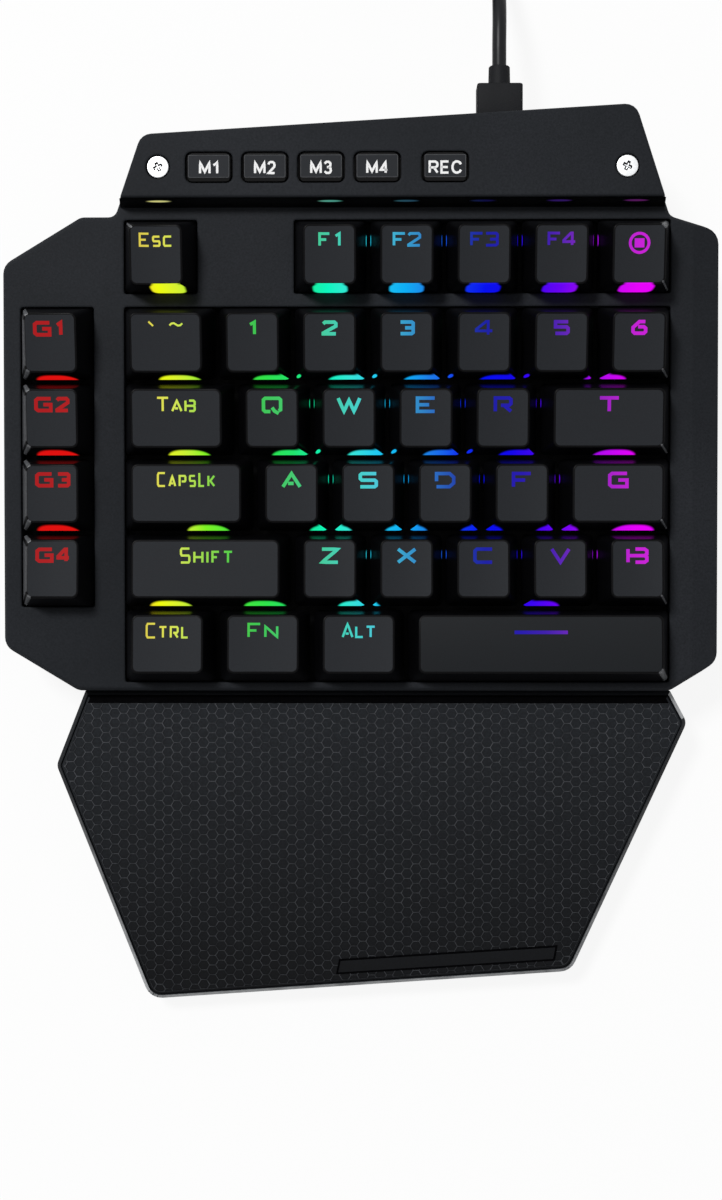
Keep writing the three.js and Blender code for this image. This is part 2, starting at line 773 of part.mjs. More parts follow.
function palmHookBlock(x, gap) {
  const foot = baseBottom + caseFloor + palmHook.lift;
  const rear = new THREE.Vector3(0, palmRear, foot - plateHeight).applyMatrix4(leaning.matrix);
  const depth = palm.wall + caseWall + palmHook.reach + 2 * gap;
  const middle = rear.y - palm.wall / 2 + (caseWall + palmHook.reach) / 2;
  return levelBlock(
    x,
    middle,
    palmHook.width + 2 * gap,
    depth,
    foot - gap,
    foot + palmHook.thickness + gap,
  );
}

function palmRest() {
  const tray = tapered(
    [outline(palmCorners), -beyond],
    [outline(palmCorners), palmRim - palm.rimEdge],
    [outline(palmCorners, -palm.rimEdge), palmRim],
  ).intersect(aboveDesk(palm.lift));
  const [frontLeft, frontRight] = palmCorners;
  const skids = [[frontLeft, 1], [frontRight, -1]].map(([[cornerX, cornerY], inwards]) => {
    const x = cornerX + inwards * (palmSkid.inset + palmSkid.width / 2);
    const y = cornerY + palmSkid.inset;
    return block(x, y, palmSkid.width, palmSkid.depth, -beyond, padSeat - palm.wall / 2);
  });
  return tray
    .subtract(prism(outline(palmCorners, -palm.rim), padSeat, palmRim + overrun))
    .subtract(prism(outline(palmCorners, -palm.wall), -beyond, padSeat - palm.wall))
    .add(joined(skids).intersect(aboveDesk(0)))
    .add(joined(palmHookPlaces.map((x) => palmHookBlock(x, 0))));
}

function palmPad() {
  return tapered(
    [outline(palmCorners, -palm.rim - seatGap), padSeat + seatGap],
    [outline(palmCorners, -palm.rim - seatGap), palmTop - palm.padEdge],
    [outline(palmCorners, -palm.rim - seatGap - palm.padEdge), palmTop],
  );
}

// The strain relief: its throat passes through the rear wall and its flange holds it from inside.
const reliefFace = rearAt(relief.x + relief.width / 2) + seatGap;
const reliefInner = rearAt(relief.x - relief.width / 2) - caseWall - relief.inside;
const reliefTip = reliefFace + relief.length + relief.neck;

function reliefThroat(gap) {
  const low = relief.z - relief.throatHeight / 2 - gap;
  const depth = reliefFace - reliefInner + 2 * overrun;
  const y = (reliefFace + reliefInner) / 2;
  return block(relief.x, y, relief.throatWidth + 2 * gap, depth, low, low + relief.throatHeight + 2 * gap);
}

function reliefFlange(gap) {
  const low = relief.z - relief.flangeHeight / 2 - gap;
  const y = reliefInner - relief.flange / 2;
  return block(
    relief.x,
    y,
    relief.flangeWidth + 2 * gap,
    relief.flange + 2 * gap,
    low,
    low + relief.flangeHeight + 2 * gap,
  );
}

function cableRelief() {
  const face = centred(relief.x, relief.z, relief.width, relief.height, relief.edge);
  const boot = tapered(
    [outline(face, -relief.edge / 2), reliefFace],
    [outline(face), reliefFace + relief.edge / 2],
    [outline(face), reliefFace + relief.length - relief.edge],
    [outline(face, -relief.edge), reliefFace + relief.length],
  ).rotate([90, 0, 0]).mirror([0, 1, 0]);
  const neck = rod(relief.x, relief.z, relief.neckTipRadius, reliefFace, reliefTip, relief.neckRadius)
    .rotate([90, 0, 0]).mirror([0, 1, 0]);
  return joined([boot, neck, reliefThroat(0), reliefFlange(0)]);
}

// The lead: a free stretch down to the desk, then piled loops, then a tail up onto them to the plug.
const leadExit = new THREE.Vector3(relief.x, reliefTip, relief.z).applyMatrix4(leaning.matrix);
const leadCurve = new THREE.CatmullRomCurve3(leadRoute.map((point) => (
  new THREE.Vector3(...point).add(leadExit)
)));

function leadRun() {
  const section = new THREE.Shape(new THREE.Path()
    .absarc(0, 0, leadDiameter / 2, 0, 2 * Math.PI)
    .getSpacedPoints(leadSides)
    .slice(0, leadSides));
  const geometry = new THREE.ExtrudeGeometry(section, {
    steps: leadSteps,
    bevelEnabled: false,
    extrudePath: leadCurve,
  });
  return solid(geometry);
}

// The loops spiral in and out again at a steady rate and climb a layer where the spiral reverses.
const tailLength = coil.tailRadius * radians(coil.tailDegrees) + coil.straight;
const coilTurns = (leadLength - leadCurve.getLength() - leadDiameter - tailLength)
  / (2 * Math.PI * coil.meanRadius);
const layerTurns = coilTurns / coil.layers;
const coilOuter = coil.meanRadius + (coil.spacing * layerTurns) / 2;
const coilStart = leadCurve.getPoint(1).add(new THREE.Vector3(0, seatGap, 0));
const coilCentre = coilStart.clone().add(new THREE.Vector3(-coilOuter, leadDiameter, 0));
const topLayer = (coil.layers - 1) * coil.spacing;
const tailRise = topLayer + leadDiameter / 2 + seatGap + plug.thickness / 2;

function loopRadius(turn) {
  const phase = turn % (2 * layerTurns);
  return coilOuter - coil.spacing * Math.min(phase, 2 * layerTurns - phase);
}

function loopRise(turn) {
  let rise = 0;
  for (let layer = 1; layer < coil.layers; layer += 1) {
    const start = layer * layerTurns - coil.climbTurns / 2;
    rise += coil.spacing * THREE.MathUtils.clamp((turn - start) / coil.climbTurns, 0, 1);
  }
  return rise;
}

const rampTurns = coil.climbTurns / 2;
const rampLength = 2 * Math.PI * coilOuter * rampTurns;
const arcLength = coil.tailRadius * radians(coil.tailDegrees);
const tailHeight = (travelled) => topLayer
  + (tailRise - topLayer) * THREE.MathUtils.smoothstep(travelled, 0, rampLength + arcLength);

function coilPath() {
  const steps = Math.round(coilTurns * coil.stepsPerTurn);
  const path = [coilStart.clone().sub(coilCentre)];
  for (let step = 0; step <= steps; step += 1) {
    const turn = (coilTurns * step) / steps;
    const ramp = Math.max(turn - coilTurns + rampTurns, 0) / rampTurns;
    const rise = ramp > 0 ? tailHeight(ramp * rampLength) : loopRise(turn);
    const angle = 2 * Math.PI * turn;
    path.push(new THREE.Vector3(Math.cos(angle), Math.sin(angle), 0)
      .multiplyScalar(loopRadius(turn))
      .setZ(rise));
  }
  const endAngle = 2 * Math.PI * coilTurns;
  const outwards = new THREE.Vector3(Math.cos(endAngle), Math.sin(endAngle), 0);
  const pivot = outwards.clone().multiplyScalar(coilOuter - coil.tailRadius);
  for (let step = 1; step <= coil.tailSteps; step += 1) {
    const share = step / coil.tailSteps;
    path.push(outwards.clone()
      .applyAxisAngle(new THREE.Vector3(0, 0, 1), radians(coil.tailDegrees) * share)
      .multiplyScalar(coil.tailRadius)
      .add(pivot)
      .setZ(tailHeight(rampLength + arcLength * share)));
  }
  const heading = tailHeading();
  path.push(path[path.length - 1].clone().addScaledVector(heading, coil.straight));
  return path.map((point) => point.add(coilCentre));
}

function tailHeading() {
  const angle = 2 * Math.PI * coilTurns + radians(coil.tailDegrees) + Math.PI / 2;
  return new THREE.Vector3(Math.cos(angle), Math.sin(angle), 0);
}

// A faceted tube along a path that never points straight up.
function leadCoil(path) {
  const up = new THREE.Vector3(0, 0, 1);
  const section = Array.from({ length: coil.sides }, (unused, index) => {
    const angle = (2 * Math.PI * index) / coil.sides;
    return new THREE.Vector2(Math.cos(angle), Math.sin(angle)).multiplyScalar(leadDiameter / 2);
  });
  const rings = path.map((point, index) => {
    const before = path[Math.max(index - 1, 0)];
    const after = path[Math.min(index + 1, path.length - 1)];
    const along = after.clone().sub(before).normalize();
    const across = up.clone().cross(along).normalize();
    const over = along.clone().cross(across);
    return section.map(({ x, y }) => (
      point.clone().addScaledVector(across, x).addScaledVector(over, y)
    ));
  });
  return loft(rings, section);
}

// The least gap between stretches of the coil that lie more than a few diameters apart along it.
function leastGap(path) {
  const apart = Math.ceil((coil.stepsPerTurn * leadDiameter) / coil.meanRadius);
  const nearest = new THREE.Vector3();
  let least = Infinity;
  path.forEach((point, index) => {
    for (let start = index + apart; start + 1 < path.length; start += 1) {
      new THREE.Line3(path[start], path[start + 1]).closestPointToPoint(point, true, nearest);
      least = Math.min(least, nearest.distanceTo(point) - leadDiameter);
    }
  });
  return least;
}

// The plug: a rounded grip that narrows to the lead, and an open metal shell with its tongue.
function usbPlug(end) {
  const grip = centred(0, 0, plug.width, plug.thickness, plug.corner);
  const tip = centred(0, 0, plug.tipWidth, plug.thickness - plug.corner, plug.corner);
  const shell = centred(0, 0, plug.shellWidth, plug.shellHeight);
  const shellEnd = plug.length + plug.shellLength;
  const body = joined([
    tapered([outline(tip), 0], [outline(grip), plug.tipLength], [outline(grip), plug.length]),
    prism(sharp(shell), plug.length - overrun, shellEnd),
  ]).subtract(prism(sharp(grown(shell, -plug.shellWall)), plug.length + overrun, shellEnd + overrun));
  const tongue = block(
    0,
    (plug.tongue - plug.shellHeight) / 2 + plug.shellWall / 2,
    plug.shellWidth - plug.shellWall,
    plug.tongue,
    plug.length,
    shellEnd - plug.shellWall,
  );
  const heading = tailHeading();
  const matrix = new THREE.Matrix4().makeBasis(
    new THREE.Vector3(0, 0, 1).cross(heading),
    new THREE.Vector3(0, 0, 1),
    heading,
  );
  matrix.setPosition(end.clone().addScaledVector(heading, seatGap));
  return skin(body.add(tongue)).applyMatrix4(matrix);
}

// The tie: a flat strap right round the loops.
function cableTie() {
  const chord = Math.cos(Math.PI / coil.stepsPerTurn);
  const innerWall = (coilOuter - coil.spacing * layerTurns - leadDiameter / 2) * chord;
  const left = Math.sqrt(innerWall ** 2 - (tie.width / 2) ** 2) - seatGap;
  const right = coilOuter + leadDiameter / 2 + seatGap;
  const low = -leadDiameter / 2 - seatGap;
  const high = topLayer + leadDiameter / 2 + seatGap;
  const inside = rectangle(left, right, low, high, tie.radius);
  const strap = prism(outline(inside, tie.thickness), 0, tie.width)
    .subtract(prism(outline(inside), -overrun, tie.width + overrun));
  return skin(strap)
    .translate(0, 0, -tie.width / 2)
    .rotateX(Math.PI / 2)
    .rotateZ(radians(tie.degrees))
    .translate(...coilCentre.toArray());
}

// The whole object: the case leans by the typing angle; the feet and the lead stand level on the desk.
leaning.add(
  piece('base_shell', baseShell(), finishes.caseBlack),
  piece('top_cover', topCover(), finishes.caseBlack),
  piece('switch_plate', switchPlate(), finishes.steel),
  piece('circuit_board', circuitBoard(), finishes.boardGreen),
  piece('macro_board', macroBoard(), finishes.boardGreen),
  piece('palm_rest', palmRest(), finishes.caseBlack),
  piece('palm_rest_pad', palmPad(), finishes.palmSkin),
);

keys.forEach((key) => {
  const cap = piece(`key_${key.name}`, keycap(key), finishes.capBlack);
  cap.position.set(key.x, key.y, capLift);
  leaning.add(cap);
});

buttonPlaces.forEach(({ name, x }) => {
  const button = piece(`button_${name}`, macroButton(), finishes.gloss);
  button.position.set(x, buttonY, 0);
  leaning.add(button);
});

screwPlaces.forEach(([name, x]) => {
  const cover = piece(`screw_${name}`, coverScrew(), finishes.screwSteel);
  cover.position.set(x, screwY, 0);
  leaning.add(cover);
});

const keypad = new THREE.Group();
keypad.add(leaning);

// Each foot is a strip under the case, set in from its front or rear edge.
const footMiddle = (side.left + side.right) / 2;
const footEdges = [['rear_foot', rearAt(footMiddle), -1], ['front_foot', side.front, 1]];
footEdges.forEach(([name, edge, inwards]) => {
  const y = edge * Math.cos(typingAngle) + inwards * (footInset + footWidth / 2);
  const strip = block(footMiddle, y, footLength, footWidth, 0, footHeight);
  keypad.add(piece(name, strip, finishes.rubber));
});

const solidBox = new THREE.Box3().setFromObject(keypad, true);
leaning.add(piece('cable_relief', cableRelief(), finishes.rubber));
const path = coilPath();
console.log('least gap in the coil, mm:', leastGap(path));
keypad.add(
  piece('usb_lead_run', leadRun(), finishes.leadBlack),
  piece('usb_lead_coil', leadCoil(path), finishes.leadBlack),
  piece('usb_plug', usbPlug(path[path.length - 1]), finishes.leadBlack),
  piece('cable_tie', cableTie(), finishes.rubber),
);

// The origin lies on the desk under the middle of the case and palm rest.
const middle = solidBox.getCenter(new THREE.Vector3());
keypad.position.set(-middle.x, -middle.y, 0);

export default keypad;
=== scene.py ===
# A one-handed gaming keypad, seen from above: a black moulded case with 39 lit mechanical keys, a raised rear
# bar with five small buttons, a hooked-on palm rest, and a fixed lead that is coiled and tied behind it.
# Sizes are in millimetres. The case is drawn in its switch plate's own frame: x runs to the right from the
# left edge of the main key block, y to the rear from the number row, and z up from the plate's top face.
import math

import bpy
from mathutils import Matrix, Vector
from mathutils.geometry import tessellate_polygon


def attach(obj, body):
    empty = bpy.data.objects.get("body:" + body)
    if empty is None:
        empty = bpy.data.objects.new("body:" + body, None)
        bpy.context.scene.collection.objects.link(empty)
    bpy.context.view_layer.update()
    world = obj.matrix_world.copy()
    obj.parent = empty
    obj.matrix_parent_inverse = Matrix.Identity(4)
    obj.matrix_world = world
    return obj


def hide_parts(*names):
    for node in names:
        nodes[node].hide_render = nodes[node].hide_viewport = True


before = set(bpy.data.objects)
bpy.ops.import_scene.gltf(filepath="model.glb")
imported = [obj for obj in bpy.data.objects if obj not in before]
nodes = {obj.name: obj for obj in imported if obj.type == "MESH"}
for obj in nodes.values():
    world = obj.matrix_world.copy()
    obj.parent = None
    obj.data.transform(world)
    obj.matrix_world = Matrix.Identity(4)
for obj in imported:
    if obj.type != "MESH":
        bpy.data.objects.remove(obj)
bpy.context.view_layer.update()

# The camera hangs above the middle of the number rows, square to the keys, and looks down the typing angle.
TYPING_ANGLE = math.radians(4.25)
PLATE_CORNER = (-59.884, 53.060, 20.497)
case_frame = Matrix.Translation(Vector(PLATE_CORNER) / 1000) @ Matrix.Rotation(TYPING_ANGLE, 4, "X")


def placed(x, y, z):
    """A point of the plate's frame, in millimetres, as a place in the room, in metres."""
    return case_frame @ (Vector((x, y, z)) / 1000)


CAMERA_PLACE = (65.06, -54.92, 444.81)
CAMERA_PITCH = math.radians(1.2718)
CAMERA_ROLL = math.radians(-0.6595)
CAMERA_LENS = 52.053
camera_data = bpy.data.cameras.new("camera")
camera_data.lens = CAMERA_LENS
camera = bpy.data.objects.new("camera", camera_data)
bpy.context.scene.collection.objects.link(camera)
into_view = Matrix.Rotation(CAMERA_ROLL, 4, "Y") @ Matrix.Rotation(CAMERA_PITCH, 4, "X")
camera.matrix_world = case_frame @ Matrix.Translation(Vector(CAMERA_PLACE) / 1000) @ into_view.inverted()
bpy.context.scene.camera = camera

# The lead is 1.8 m of round, soft PVC-jacketed cable. It leaves the strain relief level and bows down to the
# desk behind the case. Its spare length is wound there in four layers of loops, with the plug lying on them.
LEAD_DIAMETER = 3.6
LEAD_LENGTH = 1800
LEAD_EXIT = (35.4156, 124.4729, 23.6484)
LEAD_RUN_LENGTH = 64.04
LEAD_ROUTE = (
    (0, 0, 0), (0, 3, 0.25), (0, 6, 0.4), (0.1, 12, 0.1), (0.2, 18, -1.8), (0.3, 24, -5.4), (0.3, 30, -10.2),
    (0.2, 36, -15), (0.1, 42, -18.9), (0, 48, -21.1), (0, 53, -21.3), (0, 58, -20.75),
)
LOOP_RADIUS = 21.6
LOOP_SPACING = 4.12
LOOP_LAYERS = 4
LOOP_CLIMB_TURNS = 0.5
LOOP_STEPS = 24
TAIL_RADIUS = 16
TAIL_TURN = math.radians(111)
TAIL_STEPS = 8
TAIL_STRAIGHT = 5
PLUG_THICKNESS = 7.8
PIECE_GAP = 0.3

tail_length = TAIL_RADIUS * TAIL_TURN + TAIL_STRAIGHT
loop_length = LEAD_LENGTH - LEAD_RUN_LENGTH - LEAD_DIAMETER - tail_length
loop_turns = loop_length / (2 * math.pi * LOOP_RADIUS)
layer_turns = loop_turns / LOOP_LAYERS
loop_outer = LOOP_RADIUS + LOOP_SPACING * layer_turns / 2
loop_start = Vector(LEAD_EXIT) + Vector(LEAD_ROUTE[-1]) + Vector((0, PIECE_GAP, 0))
loop_centre = loop_start + Vector((-loop_outer, LEAD_DIAMETER, 0))
top_layer = (LOOP_LAYERS - 1) * LOOP_SPACING
tail_rise = top_layer + LEAD_DIAMETER / 2 + PIECE_GAP + PLUG_THICKNESS / 2
ramp_turns = LOOP_CLIMB_TURNS / 2
ramp_length = 2 * math.pi * loop_outer * ramp_turns
tail_angle = 2 * math.pi * loop_turns


def tail_height(travelled):
    """How high the last stretch of the lead lies, as it eases up from the top layer to the plug."""
    share = min(max(travelled / (ramp_length + TAIL_RADIUS * TAIL_TURN), 0), 1)
    return top_layer + (tail_rise - top_layer) * share * share * (3 - 2 * share)


lead_path = [Vector(LEAD_EXIT) + Vector(point) for point in LEAD_ROUTE]
loop_steps = round(loop_turns * LOOP_STEPS)
for step in range(loop_steps + 1):
    turn = loop_turns * step / loop_steps
    phase = turn % (2 * layer_turns)
    reach = loop_outer - LOOP_SPACING * min(phase, 2 * layer_turns - phase)
    ramp = max(turn - loop_turns + ramp_turns, 0) / ramp_turns
    rise = tail_height(ramp * ramp_length) if ramp > 0 else LOOP_SPACING * sum(
        min(max((turn - layer * layer_turns + ramp_turns) / LOOP_CLIMB_TURNS, 0), 1)
        for layer in range(1, LOOP_LAYERS)
    )
    angle = 2 * math.pi * turn
    lead_path.append(loop_centre + Vector((reach * math.cos(angle), reach * math.sin(angle), rise)))
for step in range(1, TAIL_STEPS + 1):
    share = step / TAIL_STEPS
    angle = tail_angle + TAIL_TURN * share
    pivot = Vector((math.cos(tail_angle), math.sin(tail_angle), 0)) * (loop_outer - TAIL_RADIUS)
    around = Vector((math.cos(angle), math.sin(angle), 0)) * TAIL_RADIUS
    height = Vector((0, 0, tail_height(ramp_length + TAIL_RADIUS * TAIL_TURN * share)))
    lead_path.append(loop_centre + pivot + around + height)
heading_angle = tail_angle + TAIL_TURN + math.pi / 2
heading = Vector((math.cos(heading_angle), math.sin(heading_angle), 0))
lead_path.append(lead_path[-1] + heading * TAIL_STRAIGHT)

lead_curve = bpy.data.curves.new("lead", "CURVE")
lead_curve.dimensions = "3D"
lead_curve.bevel_depth = LEAD_DIAMETER / 2000
lead_curve.bevel_resolution = 3
lead_curve.resolution_u = 3
lead_curve.use_fill_caps = True
lead_spline = lead_curve.splines.new("BEZIER")
lead_spline.bezier_points.add(len(lead_path) - 1)
for knot, point in zip(lead_spline.bezier_points, lead_path):
    knot.co = point / 1000
    knot.handle_left_type = knot.handle_right_type = "AUTO"
lead = bpy.data.objects.new("lead", lead_curve)
bpy.context.scene.collection.objects.link(lead)


def linear(colour):
    """An sRGB hex colour as the linear colour that a shader takes."""
    shares = [int(colour[index:index + 2], 16) / 255 for index in (1, 3, 5)]
    return [s / 12.92 if s <= 0.04045 else ((s + 0.055) / 1.055) ** 2.4 for s in shares] + [1]


def add(material, kind, inputs=(), **settings):
    """Adds one node to a material, sets its properties, and fills or links its inputs."""
    made = material.node_tree.nodes.new(kind)
    for name, value in settings.items():
        setattr(made, name, value)
    for socket, value in dict(inputs).items():
        if isinstance(value, bpy.types.NodeSocket):
            material.node_tree.links.new(value, made.inputs[socket])
        else:
            made.inputs[socket].default_value = value
    return made


def new_finish(name, roughness, **constants):
    """A new material and its shader, with the numbers that are the same all over the surface."""
    material = bpy.data.materials.new(name)
    material.use_nodes = True
    shader = material.node_tree.nodes["Principled BSDF"]
    shader.inputs["Roughness"].default_value = roughness
    for socket, value in constants.items():
        shader.inputs[socket.replace("_", " ")].default_value = value
    return material, shader


def link(material, output, socket):
    """Joins a node's output to an input."""
    material.node_tree.links.new(output, socket)


def mottled(material, shader, grain, detail, colours, stops=(0, 1)):
    """Colours a surface from dark to light, in noise with a grain in millimetres, and returns the noise."""
    place = add(material, "ShaderNodeTexCoord")
    noise = add(material, "ShaderNodeTexNoise", {
        "Vector": place.outputs["Object"], "Scale": 1000 / grain, "Detail": detail,
    })
    tint = add(material, "ShaderNodeValToRGB", {"Fac": noise.outputs["Fac"]})
    for end in (0, 1):
        tint.color_ramp.elements[end].position = stops[end]
        tint.color_ramp.elements[end].color = linear(colours[end])
    link(material, tint.outputs["Color"], shader.inputs["Base Color"])
    return noise.outputs["Fac"]


# Extruded soft PVC: a satin black jacket, with the faint cross ripples that the die leaves every 2 mm or so.
pvc_jacket, jacket_shader = new_finish("extruded_pvc_jacket", 0.38, IOR=1.53, Specular_IOR_Level=0.15)
ripple = mottled(pvc_jacket, jacket_shader, 2, 3, ("#101113", "#17181b"))
bump = add(pvc_jacket, "ShaderNodeBump", {"Height": ripple, "Strength": 0.25, "Distance": 0.0001})
link(pvc_jacket, bump.outputs["Normal"], jacket_shader.inputs["Normal"])
lead.data.materials.append(pvc_jacket)
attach(lead, "case")
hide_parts("usb_lead_run", "usb_lead_coil")


def dress(node, material):
    """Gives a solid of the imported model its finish."""
    nodes[node].data.materials.clear()
    nodes[node].data.materials.append(material)


def rounded(width, depth, radius, across, along, bend):
    """Points round a rectangle with rounded corners, counter-clockwise, with its straight sides divided."""
    points = []
    corners = ((1, -1, -90), (1, 1, 0), (-1, 1, 90), (-1, -1, 180))
    for (side_x, side_y, first), count in zip(corners, (along, across, along, across)):
        middle_x = side_x * (width / 2 - radius)
        middle_y = side_y * (depth / 2 - radius)
        for step in range(bend + 1):
            angle = math.radians(first + 90 * step / bend)
            points.append((middle_x + radius * math.cos(angle), middle_y + radius * math.sin(angle)))
        last = points[-1]
        length = (width if side_x * side_y > 0 else depth) - 2 * radius
        turn = math.radians(first + 180)
        points += [
            (last[0] + length * step / count * math.cos(turn),
             last[1] + length * step / count * math.sin(turn))
            for step in range(1, count)
        ]
    return points


def loft(rings):
    """The faces that join rings of equally many points into one skin, closed at both ends."""
    count = len(rings[0])
    faces = [tuple(reversed(range(count)))]
    for low in range(0, (len(rings) - 1) * count, count):
        for index in range(count):
            after = (index + 1) % count
            faces.append((low + index, low + after, low + count + after, low + count + index))
    return faces + [tuple(range((len(rings) - 1) * count, len(rings) * count))]


def shaped(name, points, faces, finishes, sharp=35):
    """A mesh object, its points in the room, in metres. Edges that turn by more than the angle stay sharp."""
    mesh = bpy.data.meshes.new(name)
    mesh.from_pydata(points, [], faces)
    for finish in finishes:
        mesh.materials.append(finish)
    mesh.update()
    mesh.shade_smooth()
    mesh.set_sharp_from_angle(angle=math.radians(sharp))
    made = bpy.data.objects.new(name, mesh)
    bpy.context.scene.collection.objects.link(made)
    return made


# The strain relief is moulded round the lead in soft black PVC, matt with a fine even grain: a short neck on
# a block, whose flange the two shells trap between them. Each section has its y, width, height and radius.
RELIEF_AXIS = (95.3, -2.15)
RELIEF_STEPS = (3, 3, 5)
RELIEF_SECTIONS = (
    (71.45, 5.0, 5.0, 2.4), (71.25, 5.4, 5.4, 2.6), (66.6, 5.6, 5.6, 2.7), (66.6, 10.9, 6.3, 0.5),
    (66.45, 11.4, 6.8, 0.6), (66.2, 11.6, 7, 0.7), (58.75, 11.6, 7, 0.7), (58.3, 11.4, 6.8, 0.6),
    (58.15, 10.4, 6.4, 0.5), (58.15, 8, 4.6, 0.3), (54.8, 8, 4.6, 0.3), (54.8, 12, 8, 0.3),
    (53.2, 12, 8, 0.3),
)
soft_rubber, rubber_shader = new_finish("moulded_soft_rubber", 0.62, IOR=1.52, Specular_IOR_Level=0.12)
grain = mottled(soft_rubber, rubber_shader, 0.5, 4, ("#0f1012", "#18191c"))
edge = add(soft_rubber, "ShaderNodeBevel", {"Radius": 0.0003}, samples=4)
bump = add(soft_rubber, "ShaderNodeBump", {
    "Height": grain, "Strength": 0.3, "Distance": 0.0001, "Normal": edge.outputs["Normal"],
})
link(soft_rubber, bump.outputs["Normal"], rubber_shader.inputs["Normal"])
outlines = [rounded(*size, *RELIEF_STEPS) for _, *size in RELIEF_SECTIONS]
relief = shaped("strain_relief", [
    placed(RELIEF_AXIS[0] + across, section[0], RELIEF_AXIS[1] + up)
    for section, outline in zip(RELIEF_SECTIONS, outlines) for across, up in outline
], loft(outlines), [soft_rubber])
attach(relief, "case")
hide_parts("cable_relief")

# The plug is a standard flat one: a rubber grip with four finger grooves, a nickel-plated steel shell, and a
# black tongue in it with four gilt contacts. It lies on the loops, and a rubber strap ties them. Each section
# has its place along the plug, its width, its height and its corner radius.
GRIP_BODY = (15.6, PLUG_THICKNESS, 1.4)
GRIP_GROOVE = (14.6, 7.4, 1.4)
GRIP_GROOVES = (8, 10.5, 13, 15.5)
GROOVE_EDGE = 0.3
GROOVE_WIDTH = 1.4
SHELL_SECTIONS = (
    (23, 12, 4.5, 0.5), (34.85, 12, 4.5, 0.5), (35, 11.7, 4.2, 0.4), (34.9, 11.2, 3.7, 0.3),
    (23.1, 11.2, 3.7, 0.3),
)
TONGUE_SECTIONS = ((23, 11, 1.8, 0.15), (34.6, 11, 1.8, 0.15))
TONGUE_DROP = -1.15
PLUG_STEPS = (3, 2, 3)
CONTACTS = (-3.5, -1, 1, 3.5)
CONTACT_WIDTH = 1
CONTACT_START = 25.5
CONTACT_LENGTH = 8
CONTACT_LIFT = 0.03
grip_sections = [(0, 8.4, 5.8, 1.2), (0.3, 9, 6.4, 1.4), (4, *GRIP_BODY)]
for groove in GRIP_GROOVES:
    grip_sections += [
        (groove, *GRIP_BODY), (groove + GROOVE_EDGE, *GRIP_GROOVE),
        (groove + GROOVE_WIDTH - GROOVE_EDGE, *GRIP_GROOVE), (groove + GROOVE_WIDTH, *GRIP_BODY),
    ]
grip_sections += [(22.6, *GRIP_BODY), (23, 14.8, 7, 1.1)]
# The nickel plate is clear and a little clouded, and the gilt is wiped thin by use.
nickel_plate, nickel_shader = new_finish("nickel_plated_steel", 0.3, Metallic=1)
mottled(nickel_plate, nickel_shader, 1, 3, ("#b9b7b2", "#d2d0cb"))
gilt, gilt_shader = new_finish("gilt_contact", 0.25, Metallic=1)
mottled(gilt, gilt_shader, 0.5, 2, ("#c69a45", "#e0b65c"))
plug_across = Vector((0, 0, 1)).cross(heading)
plug_base = lead_path[-1] + heading * PIECE_GAP
GRIP, SHELL, TONGUE, CONTACT = range(4)
points, faces, slots = [], [], []
for sections, drop, slot in (
    (grip_sections, 0, GRIP), (SHELL_SECTIONS, 0, SHELL), (TONGUE_SECTIONS, TONGUE_DROP, TONGUE),
):
    outlines = [rounded(*size, *PLUG_STEPS) for _, *size in sections]
    start = len(points)
    points += [
        (across, up + drop, section[0])
        for section, outline in zip(sections, outlines) for across, up in outline
    ]
    faces += [tuple(start + index for index in face) for face in loft(outlines)]
    slots += [slot] * (len(faces) - len(slots))
contact_top = TONGUE_DROP + TONGUE_SECTIONS[0][2] / 2 + CONTACT_LIFT
for across in CONTACTS:
    start = len(points)
    points += [
        (across + side * CONTACT_WIDTH / 2, contact_top, CONTACT_START + end * CONTACT_LENGTH)
        for side, end in ((-1, 0), (-1, 1), (1, 1), (1, 0))
    ]
    faces.append((start, start + 1, start + 2, start + 3))
    slots.append(CONTACT)
plug = shaped("lead_plug", [
    (plug_base + plug_across * across + Vector((0, 0, up)) + heading * along) / 1000
    for across, up, along in points
], faces, [soft_rubber, nickel_plate, soft_rubber, gilt])
plug.data.polygons.foreach_set("material_index", slots)
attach(plug, "case")
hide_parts("usb_plug")
# The tie and the two strips under the case are moulded in the same rubber.
for node in ("cable_tie", "rear_foot", "front_foot"):
    dress(node, soft_rubber)

# The case is two ABS mouldings and the palm rest a third, hooked into the case's front. All have a fine matt
# grain of about 0.3 mm from a spark-eroded mould, drawn at 0.5 mm, as coarse as it needs to show, and soft
# edges that catch a little light.
matt_abs, abs_shader = new_finish("spark_grained_abs", 0.46, IOR=1.54, Specular_IOR_Level=0.03)
place = add(matt_abs, "ShaderNodeTexCoord")
grain = add(matt_abs, "ShaderNodeTexNoise", {
    "Vector": place.outputs["Object"], "Scale": 1 / 0.0005, "Detail": 3,
})
drift = add(matt_abs, "ShaderNodeTexNoise", {
    "Vector": place.outputs["Object"], "Scale": 1 / 0.05, "Detail": 2,
})
blend = add(matt_abs, "ShaderNodeMath", {
    0: grain.outputs["Fac"], 1: drift.outputs["Fac"],
}, operation="MULTIPLY")
tint = add(matt_abs, "ShaderNodeValToRGB", {"Fac": blend.outputs["Value"]})
tint.color_ramp.elements[0].position = 0.1
tint.color_ramp.elements[0].color = linear("#1f2124")
tint.color_ramp.elements[1].position = 0.45
tint.color_ramp.elements[1].color = linear("#2b2d31")
link(matt_abs, tint.outputs["Color"], abs_shader.inputs["Base Color"])
edge = add(matt_abs, "ShaderNodeBevel", {"Radius": 0.0008}, samples=6)
bump = add(matt_abs, "ShaderNodeBump", {
    "Height": grain.outputs["Fac"], "Strength": 0.35, "Distance": 0.00005, "Normal": edge.outputs["Normal"],
})
link(matt_abs, bump.outputs["Normal"], abs_shader.inputs["Normal"])
for node in ("base_shell", "top_cover", "palm_rest"):
    dress(node, matt_abs)

